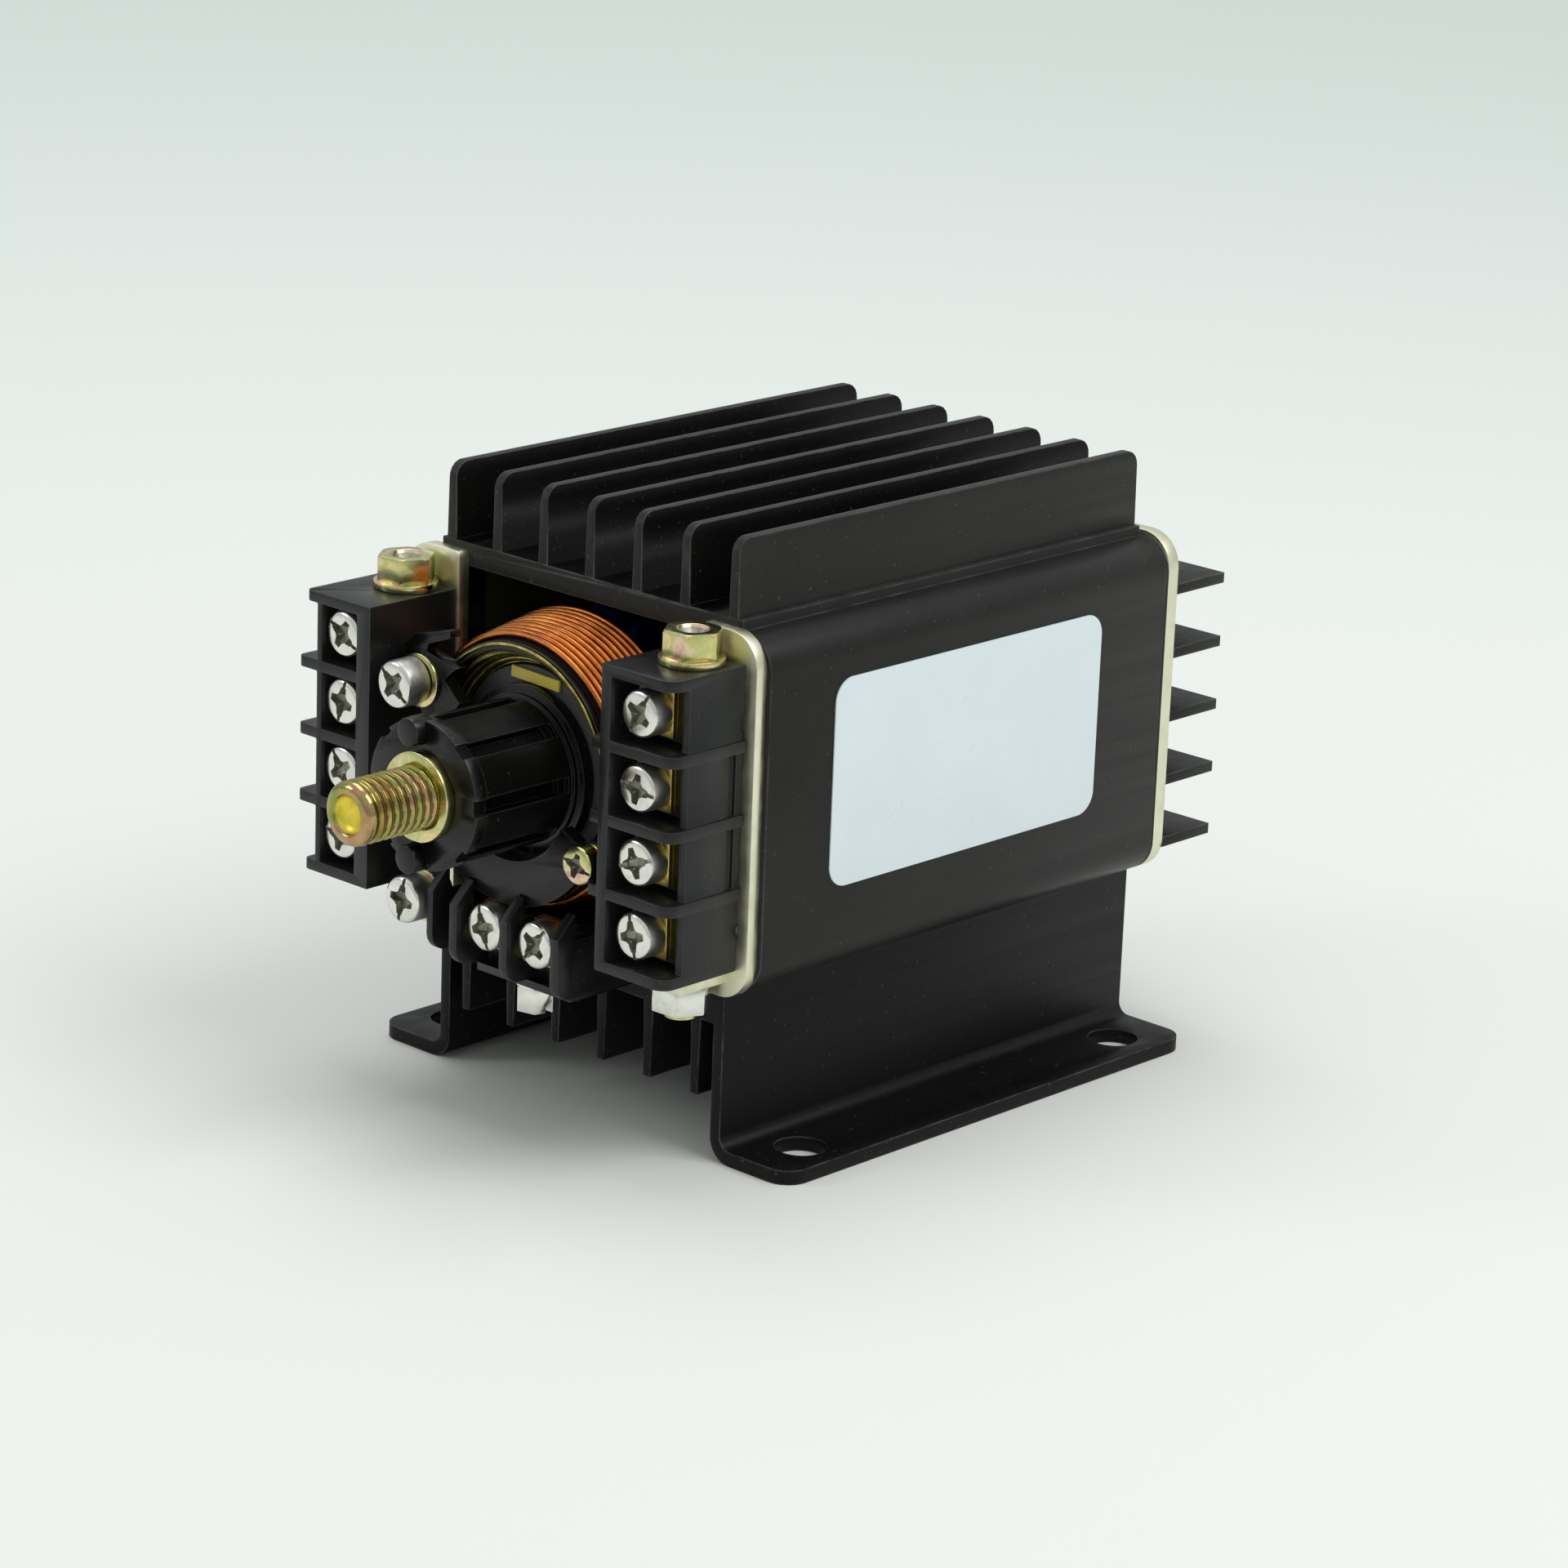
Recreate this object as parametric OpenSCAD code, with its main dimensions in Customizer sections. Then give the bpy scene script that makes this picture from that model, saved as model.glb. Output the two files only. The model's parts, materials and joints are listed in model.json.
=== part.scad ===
// Automatic voltage regulator for a small generator.
// A finned extruded case stands on a finned heat sink with two feet. The open front
// shows a winding, a fluted stud holder and three screw terminal blocks.
// Millimetres, +Z up, -Y is the front. The origin is the middle of the four foot
// holes, on the floor.

/* [Case] */
// Width of the case
case_w = 76; // [72:0.5:84]
// Height of the case without its fins
case_h = 55; // [53:0.5:60]
// Length of the case
case_len = 90.6; // [84:0.2:110]
// Outer corner radius of the case
case_corner_r = 5.5; // [3:0.5:7]
// Thickness of the case's side walls
side_wall = 2.6; // [2:0.1:3]
// Thickness of the case's roof at its shoulders
roof_wall = 2; // [1.6:0.1:3]
// Thickness of the case's floor
floor_wall = 2.6; // [2:0.1:3]
// Height of the raised land under the top fins
land_h = 1.6; // [1:0.1:3]

/* [Top fins] */
// Number of top fins
fin_count = 7; // [3:1:7]
// Distance from one top fin to the next
fin_pitch = 10; // [8:0.5:10]
// Height of the top fins above the land
fin_h = 12.1; // [8:0.1:20]
// Thickness of a fin at its root
fin_root_t = 2; // [1.6:0.1:2.6]
// Thickness of a fin at its tip
fin_tip_t = 1.5; // [1:0.1:1.6]
// Chamfer on the ends of the top fins
fin_chamfer = 2.4; // [1:0.1:4]

/* [Base heat sink] */
// Length of the base heat sink and its feet
base_len = 94; // [92:0.5:112]
// Thickness of the base plate under the case
base_plate_t = 6.6; // [6:0.1:8]
// Distance between the outer faces of the two legs
leg_span = 61.4; // [58:0.2:64]
// Thickness of a leg
leg_t = 2; // [1.6:0.1:2.6]
// Height of the case's underside above the floor
stand_h = 28.4; // [27:0.1:36]
// Width over both feet
feet_span = 90; // [88:0.5:100]
// Thickness of a foot
foot_t = 2.3; // [1.8:0.1:3]
// Outer bend radius between leg and foot
bend_r = 4; // [3:0.1:5]
// Radius of the feet's corners
foot_corner_r = 4; // [2:0.5:6]
// Number of fins under the base plate
base_fin_count = 6; // [2:2:6]
// Height of the fins under the base plate
base_fin_h = 12.2; // [8:0.1:14]

/* [Foot holes] */
// Diameter of the foot holes
foot_hole_d = 8; // [5:0.1:8.4]
// Distance between the left and right foot holes
foot_hole_dx = 76; // [75:0.1:78]
// Distance between the front and rear foot holes
foot_hole_dy = 73.6; // [60:0.1:76]

/* [Rear cooler] */
// Thickness of the rear plate
rear_plate_t = 2.4; // [2:0.1:4]
// Thickness of the rear gasket
gasket_t = 0.6; // [0.4:0.1:1]
// Number of fins on the rear cooler
rear_fin_count = 5; // [3:2:5]
// Distance from one rear fin to the next
rear_fin_pitch = 10.5; // [9:0.1:10.8]
// Thickness of a rear fin
rear_fin_t = 1.7; // [1.4:0.1:2]
// Reach of the rear fins behind the rear plate
rear_fin_reach = 11.8; // [8:0.1:16]
// Thickness of the rear cooler's base
rear_base_t = 3; // [2:0.1:4]
// Width of the rear cooler's base
rear_base_w = 54; // [44:0.5:54]

/* [Terminal blocks] */
// Number of poles on each side block
pole_count = 4; // [2:1:4]
// Distance from one pole to the next on the right block
right_pitch = 11.35; // [11:0.05:11.6]
// Distance from one pole to the next on the left block
left_pitch = 10.75; // [10.4:0.05:11]
// Thickness of the barriers between the poles
barrier_t = 1.8; // [1.4:0.1:2]
// Width of the right block over its barriers
right_block_w = 15; // [14.8:0.1:15.6]
// Depth of the right block
right_block_d = 15.3; // [15:0.1:17]
// Width of the left block's top plate
left_block_w = 14.4; // [14.2:0.1:15]
// Depth of the left block
left_block_d = 17.8; // [16:0.1:19]
// Distance from the middle plane to the right block's inner face
right_block_x = 20.5; // [20.4:0.1:20.8]
// Distance from the middle plane to the left block's inner face
left_block_x = 26.5; // [26:0.1:27]
// Diameter of a terminal screw's head
head_d = 6.9; // [6:0.1:7]
// Height of a terminal screw's head
head_h = 2.5; // [2:0.1:2.8]

/* [Stud and winding] */
// Diameter of the stud's thread
stud_d = 10; // [8:0.1:10]
// Diameter of the stud's plain shank inside the holder
shank_d = 9.4; // [7:0.1:9.6]
// Reach of the stud in front of the case
stud_reach = 46.2; // [40:0.1:56]
// Distance from the case's front face to the stud holder's front face
holder_reach = 31; // [28:0.1:34]
// Diameter of the stud holder's front disc
disc_d = 23; // [21:0.1:23.6]
// Diameter of the stud holder's fluted body
flute_d = 22.4; // [20:0.1:23]
// Number of flutes in the stud holder
flute_count = 8; // [6:1:10]
// Diameter of the stud holder's rear flange
flange_d = 26; // [24:0.1:27]
// Number of turns in the outer winding
turn_count = 11; // [8:1:11]
// Diameter of the outer winding's wire
wire_d = 1.3; // [1:0.05:1.3]
// Outer diameter of the outer winding at its front
coil_d = 41.2; // [41.2:0.1:41.6]
// Height of the stud's axis above the floor
axis_z = 56.4; // [56:0.1:58]

/* [Output block] */
// Distance from one pole to the next on the output block
output_pitch = 10.95; // [10.5:0.05:11.2]
// Depth of the output block
output_d = 16; // [15:0.1:17]
// Height of the output block's barriers
output_h = 13.3; // [12.6:0.1:13.6]

/* [Label plate] */
// Length of the label plate
label_len = 61; // [40:0.5:76]
// Height of the label plate
label_h = 32.6; // [20:0.1:40]
// Corner radius of the label plate
label_r = 3.6; // [1:0.1:6]

/* [Hidden] */
$fn = 48;

// General clearances
fit_gap = 0.1;
seat_gap = 0.3;
cut = 1;

// Colours
black_metal = [0.09, 0.09, 0.1];
black_plastic = [0.06, 0.06, 0.065];
zinc = [0.78, 0.76, 0.66];
yellow_zinc = [0.78, 0.66, 0.36];
bright_steel = [0.8, 0.81, 0.8];
brass = [0.8, 0.66, 0.25];
copper = [0.72, 0.38, 0.16];
olive = [0.55, 0.53, 0.2];
tape_yellow = [0.75, 0.68, 0.15];
board_green = [0.24, 0.3, 0.12];
label_white = [0.9, 0.92, 0.92];

// Case
base_y = 0.1;
front_y = -base_y - base_len / 2;
case_z0 = stand_h;
right_block_rise = 3.8;
left_block_rise = 4.9;
case_z1 = case_z0 + case_h;
land_z = case_z1 + land_h;
land_margin = 1;
land_w = (fin_count - 1) * fin_pitch + fin_root_t + 2 * land_margin;
room_w = case_w - 2 * side_wall;
room_z0 = case_z0 + floor_wall;
room_z1 = case_z1 - roof_wall;
room_corner_r = 3;
channel_r = 2.6;
channel_bore_r = 1.35;
channel_sink = 0.8;
channel_x = room_w / 2 - channel_r + channel_sink;
channel_z = case_z0 + case_h / 2 - land_h;
channel_dz = 1.5 * rear_fin_pitch;
m25_r = 1.25;
m25_head_r = 2.2;
m25_head_h = 1.4;
m3_r = 1.5;
m3_head_r = 2.8;
m3_head_h = 1.8;
m3_csk_r = 2.9;
m3_csk_h = 1.4;
m35_r = 1.75;
m4_r = 2;
m4_head_r = 3.6;
m4_head_h = 2.6;

// Base heat sink
leg_x = leg_span / 2;
base_plate_z = stand_h - base_plate_t;
base_fin_z = base_plate_z - base_fin_h;
inner_bend_r = bend_r - leg_t;
base_screw_x = 2 * fin_pitch;
base_screw_front = 13.1;
base_screw_rear = 9.5;
base_screw_rise = -0.2;

// Rear cooler
rear_plate_y = case_len + gasket_t;
rear_base_y = rear_plate_y + rear_plate_t;
rear_plate_rise = 0.9;
rear_base_margin = 3;
rear_screw_x = 18;
rear_screw_reach = 5;

// Front plates and side blocks
plate_t = 2.2;
plate_inner_x = 26;
plate_w = case_w / 2 - plate_inner_x;
plate_drop = 0.9;
plate_rise = 0.6;
plate_inner_r = 1;
lug_t = 2.2;
lug_w = 10;
lug_end = 4.6;
lug_gap = 0.1;
right_z0 = case_z0 + right_block_rise;
right_z1 = right_z0 + pole_count * right_pitch + barrier_t;
left_z0 = case_z0 + left_block_rise;
left_z1 = left_z0 + pole_count * left_pitch + barrier_t;
clamp_t = 0.9;
clamp_w = 7.2;
bar_t = 1.4;
bolt_depth = 5.15;
m5_r = 2.5;
m5_hole_r = 2.6;
m5_af = 8;
m5_head_h = 4;
m5_nut_h = 4;
m5_end = 1;
washer_r = 5;
washer_t = 1.2;
right_inner_wall = 2;
right_outer_wall = 1.5;
right_outer_inset = 0.6;
right_outer_setback = 3.9;
right_tip = 1.7;
right_tip_d = 3.2;
right_corner_r = 2.4;
right_recess = 2.2;
right_screw_u = 6.7;
right_bolt_u = 8.4;
right_bolt_turn = 3;
left_inner_wall = 3;
left_outer_wall = 1.1;
left_outer_inset = 2.5;
left_tip = 1.7;
left_recess = 0.6;
left_corner_r = 1;
left_screw_u = 6.95;
left_screw_rise = 0.5;
left_bolt_u = 5.8;
left_bolt_turn = -5;
slot_w = 1.4;
slot_depth = 0.6;
cross_w = 1;
cross_depth = 0.9;
cross_share = 0.62;

// Stud, its holder and the windings, all on one axis
axis_x = -2.5;
stud_r = stud_d / 2;
shank_r = shank_d / 2;
stud_gap = 0.05;
stud_chamfer = 0.9;
dimple_r = 3.3;
dimple_depth = 0.9;
collar_r = 6.9;
collar_t = 1.6;
disc_t = 2.4;
disc_r = disc_d / 2;
flute_r = flute_d / 2;
flute_w = 2.5;
flute_depth = 1.9;
flute_phase = 2;
flute_land = 2.8;
flange_r = flange_d / 2;
flange_t = 2;
flange_y = -10.4;
flange_lip_t = 0.8;
flange_lip_r = 1.2;
spigot_r = 9.6;
pin_r = 2.2;
pin_at_r = 9.9;
pin_angle = 97;
pin_reach = 2.3;
pin_seat = 1.6;
notch_depth = 0.7;
notch_places = [0, 1, 3, 4, 5, 7];
wire_pitch = wire_d * 0.975;
coil_r = coil_d / 2;
coil_flare = 2.4;
coil_len = turn_count * wire_pitch;
coil_y = -11.1;
coil_rear_y = coil_y + coil_len;
bobbin_r = 18.7;
bobbin_wall = 0.5;
bobbin_lip_r = 19.9;
bobbin_lip_t = 0.8;
bobbin_rear_t = 1.2;
bobbin_rear_y = coil_rear_y + fit_gap;
carrier_y = bobbin_rear_y + bobbin_rear_t + fit_gap;
carrier_t = 2;
carrier_r = 16.5;
carrier_foot = 14;
carrier_screw_in = 9;
carrier_screw_y = carrier_y + carrier_screw_in;
carrier_screw_dx = 22;
core_r = 15.6;
core_y = flange_y + flange_t + fit_gap;
inner_turns = 4;
inner_wire_d = 0.8;
inner_step = 0.7;
inner_set = 1;
inner_front_y = coil_y + inner_set;
inner_pitch = 0.9;
tape_w = 1.7;
tape_t = 0.4;
tape_l = 10.2;
tape_dx = 0.4;
tape_dz = 13.98;
tape_angle = 2;
ear_bore_r = 1.6;
nut_af = 17;
nut_h = 8;
stud_end = 1.5;

// Screw ears of the bobbin
ear_y = -14.2;
ear_t = 2.3;
ear_size = 11;
ear_shares = [
    [-0.36, -0.39], [-0.36, 0.45], [-0.15, 0.63], [0.54, 0.81], [0.55, 0.7],
    [0.13, 0.54], [0.08, 0.42], [0.69, 0.3], [0.37, 0.04], [0.19, -0.4]
];
ear_top_x = -21.1;
ear_top_dz = 10.6;
ear_low_x = -19.4;
ear_low_dz = -23.1;
ear_low_r = 3.9;
ear_side_x = 16.4;
ear_side_dz = -9.1;
ear_side_r = 3.1;
arm_w = 5;
arm_end_dz = 8.5;
ear_ring_r = 20.4;
ear_ring_bore_r = 13.4;
ear_gap_angles = [-25, 30, 85, 140];
ear_head_r = 3.7;
ear_head_h = 3.6;
ear_washer_r = 4.2;
ear_washer_t = 0.8;
side_head_r = 3;
side_head_h = 2.8;
side_washer_r = 3;

// Output block
output_dx = 4.15;
output_drop = 3.5;
output_x = axis_x + output_dx;
output_z0 = case_z0 - output_drop;
output_wall = 1.6;
output_back = 2;
output_chamfer = 3.4;
output_round = 3;
output_body_h = 9.2;
output_low_d = 12.4;
end_wall_t = 1.3;
end_wall_share = 1.47;
end_wall_rise = 1.1;
end_slab_d = 4;
bracket_t = 1.2;
bracket_back_t = output_back;
bracket_margin = 0.8;
bracket_h = 5.6;
bracket_screw_dx = 11;
bracket_screw_z = 2.7;
hex_dx = 2.6;
hex_x = axis_x + hex_dx;
hex_y = -9.2;
hex_af = 5.5;
hex_head_h = 4;
hex_washer_r = 3;
hex_washer_t = 1;
hex_reach = 5.5;

// Label plate
label_t = 0.3;
label_y = 44.5;
label_z = 58.6;

// Parts inside the case
board_t = 1.6;
board_gap = 4.7;
board_x = -room_w / 2 + board_gap;
board_y = 8;
board_rear = 6.6;
board_len = case_len - board_y - board_rear;
board_h = 45;
board_rise = 3;
board_z = room_z0 + board_rise;
board_hole_in = 4;
board_hole_dz = 8;
standoff_r = 2.6;
board_head_r = 2.3;
board_head_h = 1.4;
capacitor_r = 5.5;
capacitor_h = 15;
capacitor_step = 18;
trimmer_w = 9.5;
trimmer_h = 5;
chip_w = 7;
chip_l = 16;
chip_h = 3.6;
chip_rise = 1.8;
chip_in = chip_l / 4;
chip_step = (board_len - 2 * chip_in - chip_l) / 2;
module_w = 32;
module_l = 30;
module_h = 11;
module_side = 29.4;
module_lead = 3.3;
module_x = room_w / 2 - module_side;
module_y = case_len / 2 - module_lead;
module_ear = 6;
module_ear_t = 4;
tab_w = 6;
tab_t = 0.8;
tab_h = 9;
core_w = 30;
core_h = 25;
core_l = 10;
core_side = 27.4;
core_rear = 14.6;
core_x = room_w / 2 - core_side;
core_cy = case_len - core_rear;
window_w = 5;
winding_l = 20;
limb_w = 10;
foot_ear = 6.4;
foot_ear_t = 2;

module at_front() {
    translate([0, front_y, 0]) children();
}

module on_axis() {
    translate([axis_x, front_y, axis_z]) children();
}

module rod_y(r, y0, y1) {
    translate([0, y0, 0]) rotate([-90, 0, 0]) cylinder(r = r, h = y1 - y0);
}

module cone_y(r0, r1, y0, y1) {
    translate([0, y0, 0]) rotate([-90, 0, 0]) cylinder(r1 = r0, r2 = r1, h = y1 - y0);
}

module tube_y(r, bore, y0, y1) {
    difference() {
        rod_y(r, y0, y1);
        rod_y(bore, y0 - cut, y1 + cut);
    }
}

module round_rect(w, h, r) {
    translate([-w / 2 + r, -h / 2]) square([w - 2 * r, h]);
    translate([-w / 2, -h / 2 + r]) square([w, h - 2 * r]);
    for (x = [-1, 1], y = [-1, 1])
        translate([x * (w / 2 - r), y * (h / 2 - r)]) circle(r);
}

module extrude_y(len) {
    translate([0, len, 0]) rotate([90, 0, 0]) linear_extrude(len) children();
}

module extrude_x(len) {
    rotate([90, 0, 90]) linear_extrude(len) children();
}

module hex(af, h, turn = 13) {
    rotate([0, 0, turn]) cylinder(d = af / cos(30), h = h, $fn = 6);
}

module csk_y(r, head_r, y0, head_h, y1) {
    cone_y(head_r, r, y0, y0 + head_h);
    rod_y(r, y0, y1);
}

module strip(p, q, w) {
    run = norm(q - p);
    translate(p) rotate(atan2(q[1] - p[1], q[0] - p[0])) translate([0, -w / 2]) square([run, w]);
}

module cross_cut(r, depth) {
    for (a = [20, 110])
        rotate([0, a, 0]) translate([-r * cross_share, -cut, -cross_w / 2])
            cube([2 * r * cross_share, cut + depth, cross_w]);
}

module screw_y(head_r, head_h, r, y0, reach) {
    difference() {
        union() {
            rod_y(head_r, y0, y0 + head_h);
            rod_y(r, y0, y0 + head_h + reach);
        }
        translate([0, y0, 0]) cross_cut(head_r, cross_depth);
    }
}

module at_channels(z_list = [-1, 1]) {
    for (x = [-1, 1], z = z_list)
        translate([x * channel_x, 0, channel_z + z * channel_dz]) children();
}

module fin_profile(root_t, tip_t, h) {
    polygon([[-root_t / 2, 0], [-tip_t / 2, h], [tip_t / 2, h], [root_t / 2, 0]]);
}

// Extruded case with its land, fins and four screw channels
module case_profile() {
    difference() {
        union() {
            translate([0, case_z0 + case_h / 2]) round_rect(case_w, case_h, case_corner_r);
            translate([-land_w / 2, case_z1 - roof_wall]) square([land_w, roof_wall + land_h]);
            for (i = [0 : fin_count - 1])
                translate([(i - (fin_count - 1) / 2) * fin_pitch, land_z])
                    fin_profile(fin_root_t, fin_tip_t, fin_h);
        }
        difference() {
            translate([0, (room_z0 + room_z1) / 2])
                round_rect(room_w, room_z1 - room_z0, room_corner_r);
            for (x = [-1, 1], z = [-1, 1])
                translate([x * channel_x, channel_z + z * channel_dz]) circle(channel_r);
        }
        for (x = [-1, 1], z = [-1, 1])
            translate([x * channel_x, channel_z + z * channel_dz]) circle(channel_bore_r);
    }
}

module fin_corner() {
    translate([-land_w / 2 - cut, 0, land_z + fin_h])
        extrude_x(land_w + 2 * cut)
            polygon([[-cut, -fin_chamfer], [0, -fin_chamfer], [fin_chamfer, 0],
                [fin_chamfer, cut], [-cut, cut]]);
}

module case_shell() {
    color(black_metal) at_front() difference() {
        extrude_y(case_len) case_profile();
        fin_corner();
        translate([0, case_len, 0]) mirror([0, 1, 0]) fin_corner();
        base_screw_holes(case_z0 - cut, room_z0 + cut);
        floor_holes(case_z0 - cut, room_z0 + cut);
    }
}

module base_screw_holes(z0, z1) {
    at_base_screws() translate([0, 0, z0]) cylinder(r = m4_r + fit_gap, h = z1 - z0);
}

module at_base_screws() {
    for (x = [-1, 1], y = [base_screw_front, min(case_len, base_len) - base_screw_rear])
        translate([x * base_screw_x, y, 0]) children();
}

module floor_holes(z0, z1) {
    for (x = [-1, 1])
        translate([axis_x + x * carrier_screw_dx / 2, carrier_screw_y, z0])
            cylinder(r = m4_r + fit_gap, h = z1 - z0);
    for (x = [-1, 1])
        translate([module_x + x * (module_w + module_ear) / 2, module_y, z0])
            cylinder(r = m3_r + fit_gap, h = z1 - z0);
    for (x = [-1, 1])
        translate([core_x + x * (core_w + foot_ear) / 2, core_cy, z0])
            cylinder(r = m3_r + fit_gap, h = z1 - z0);
}

// Base heat sink: one profile with plate, legs, feet and fins
module foot_profile() {
    translate([leg_x - leg_t, bend_r]) square([leg_t, stand_h - bend_r]);
    translate([leg_x - leg_t + bend_r, 0])
        square([feet_span / 2 - leg_x + leg_t - bend_r, foot_t]);
    intersection() {
        translate([leg_x - leg_t, 0]) square(bend_r);
        difference() {
            translate([leg_x - leg_t + bend_r, bend_r]) circle(bend_r);
            translate([leg_x + inner_bend_r, foot_t + inner_bend_r]) circle(inner_bend_r);
        }
    }
    difference() {
        translate([leg_x - leg_t / 2, foot_t / 2])
            square([leg_t / 2 + inner_bend_r, foot_t / 2 + inner_bend_r]);
        translate([leg_x + inner_bend_r, foot_t + inner_bend_r]) circle(inner_bend_r);
        translate([leg_x - leg_t, 0]) difference() {
            square(bend_r);
            translate([bend_r, bend_r]) circle(bend_r);
        }
    }
}

module base_profile() {
    translate([-leg_x, base_plate_z]) square([leg_span, base_plate_t]);
    foot_profile();
    mirror([1, 0]) foot_profile();
    for (i = [0 : base_fin_count - 1])
        translate([(i - (base_fin_count - 1) / 2) * fin_pitch, base_plate_z])
            mirror([0, 1]) fin_profile(fin_root_t, fin_tip_t, base_fin_h);
}

module foot_corner() {
    difference() {
        translate([-cut, -cut, -cut])
            cube([foot_corner_r + cut, foot_corner_r + cut, foot_t + 2 * cut]);
        translate([foot_corner_r, foot_corner_r, -2 * cut])
            cylinder(r = foot_corner_r, h = foot_t + 4 * cut);
    }
}

module base_heatsink() {
    color(black_metal) difference() {
        translate([0, -base_len / 2, 0]) extrude_y(base_len) base_profile();
        for (x = [0, 1], y = [0, 1])
            mirror([x, 0, 0]) mirror([0, y, 0]) {
                translate([-feet_span / 2, -base_len / 2, 0]) foot_corner();
                translate([-foot_hole_dx / 2, -foot_hole_dy / 2, -cut])
                    cylinder(d = foot_hole_d, h = foot_t + 2 * cut);
            }
        at_front() base_screw_holes(base_plate_z - cut, case_z0 + cut);
        at_front() floor_holes(base_plate_z + cut - fit_gap, case_z0 + cut);
        translate([0, -base_len / 2, 0]) for (x = [-1, 1])
            translate([output_x + x * bracket_screw_dx / 2, 0, output_z0 - bracket_t + bracket_screw_z])
                rod_y(m3_r + fit_gap, -cut, base_plate_t + cut);
    }
}

module base_screws() {
    color(bright_steel) at_front() at_base_screws()
        translate([0, 0, base_plate_z - m4_head_h]) {
            cylinder(r = m4_head_r, h = m4_head_h);
            cylinder(r = m4_r, h = m4_head_h + base_plate_t + floor_wall + base_screw_rise);
        }
}

// Rear gasket, plate and cooler
module rear_gasket() {
    color(black_plastic) at_front() translate([0, case_len, 0]) extrude_y(gasket_t) difference() {
        translate([0, case_z0 + case_h / 2]) round_rect(case_w, case_h, case_corner_r);
        difference() {
            translate([0, (room_z0 + room_z1) / 2])
                round_rect(room_w, room_z1 - room_z0, room_corner_r);
            for (x = [-1, 1], z = [-1, 1])
                translate([x * channel_x, channel_z + z * channel_dz]) circle(channel_r);
        }
        for (x = [-1, 1], z = [-1, 1])
            translate([x * channel_x, channel_z + z * channel_dz]) circle(channel_bore_r);
    }
}

module rear_plate() {
    color(zinc) at_front() difference() {
        translate([0, rear_plate_y, 0]) extrude_y(rear_plate_t)
            translate([0, case_z0 + (case_h + rear_plate_rise) / 2])
                round_rect(case_w, case_h + rear_plate_rise, case_corner_r);
        at_channels() rod_y(m25_r + fit_gap, rear_plate_y - cut, rear_base_y + cut);
        rear_screw_places() rod_y(m3_r + fit_gap, rear_plate_y - cut, rear_base_y + cut);
    }
}

module rear_screw_places() {
    for (x = [-1, 1], z = [-1, 1])
        translate([x * rear_screw_x, 0, channel_z + z * channel_dz]) children();
}

module rear_cooler() {
    base_h = (rear_fin_count - 1) * rear_fin_pitch + rear_fin_t + 2 * rear_base_margin;
    color(black_metal) at_front() difference() {
        union() {
            translate([-rear_base_w / 2, rear_base_y, channel_z - base_h / 2])
                cube([rear_base_w, rear_base_t, base_h]);
            for (i = [0 : rear_fin_count - 1])
                translate([-case_w / 2, rear_base_y,
                    channel_z + (i - (rear_fin_count - 1) / 2) * rear_fin_pitch - rear_fin_t / 2])
                    cube([case_w, rear_fin_reach, rear_fin_t]);
        }
        rear_screw_places() rod_y(m3_r + fit_gap, rear_base_y - cut, rear_base_y + rear_base_t + cut);
    }
}

module rear_plate_screws() {
    color(bright_steel) at_front() translate([0, rear_base_y + m25_head_h, 0]) mirror([0, 1, 0])
        at_channels() screw_y(m25_head_r, m25_head_h, m25_r, 0, rear_plate_t + gasket_t + rear_screw_reach);
}

module rear_cooler_screws() {
    color(bright_steel) at_front()
        translate([0, rear_base_y + rear_base_t + m3_head_h, 0]) mirror([0, 1, 0])
            rear_screw_places() screw_y(m3_head_r, m3_head_h, m3_r, 0,
                rear_base_t + rear_plate_t + cut);
}

// Front plates: a flat strip with a lug, on the left in a pocket of the terminal block
module outer_corners(w, h, r) {
    for (z = [-1, 1]) scale([1, z]) translate([w / 2 - r, h / 2 - r]) difference() {
        square(r + cut);
        circle(r);
    }
}

module front_plate(side, bolt_x, lug_z) {
    plate_h = case_h + plate_drop + plate_rise;
    at_front() difference() {
        scale([side, 1, 1]) {
            translate([case_w / 2 - plate_w / 2, -plate_t, case_z0 - plate_drop + plate_h / 2])
                extrude_y(plate_t) difference() {
                    round_rect(plate_w, plate_h, plate_inner_r);
                    outer_corners(plate_w, plate_h, case_corner_r);
                }
            translate([bolt_x - lug_w / 2, -plate_t - bolt_depth - lug_end, lug_z])
                cube([lug_w, bolt_depth + lug_end + plate_t / 2, lug_t]);
        }
        at_channels() csk_y(m25_r + fit_gap, m25_head_r + fit_gap, -plate_t, m25_head_h, cut);
        translate([side * bolt_x, -plate_t - bolt_depth, lug_z - cut])
            cylinder(r = m5_hole_r, h = lug_t + 2 * cut);
    }
}

module left_front_plate() {
    color(zinc) front_plate(-1, left_block_x + left_bolt_u, left_z0);
}

module right_front_plate() {
    color(zinc) front_plate(1, right_block_x + right_bolt_u, right_z0 - lug_t);
}

module front_plate_screws() {
    color(bright_steel) at_front() at_channels() difference() {
        csk_y(m25_r, m25_head_r, -plate_t, m25_head_h, rear_screw_reach);
        translate([0, -plate_t, 0]) cross_cut(m25_head_r, cross_depth);
    }
}

// Side terminal blocks: u runs outwards from the inner face, -y is the front
module barrier_plan(w, d, tip_in, tip_in_d, tip_out, r) {
    difference() {
        union() {
            translate([0, -d]) square([w + tip_out, d]);
            translate([-tip_in, -d]) square([tip_in + cut, tip_in_d]);
        }
        translate([w + tip_out - r, -d + r]) rotate(-90) difference() {
            square(r + cut);
            circle(r);
        }
    }
}

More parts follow.
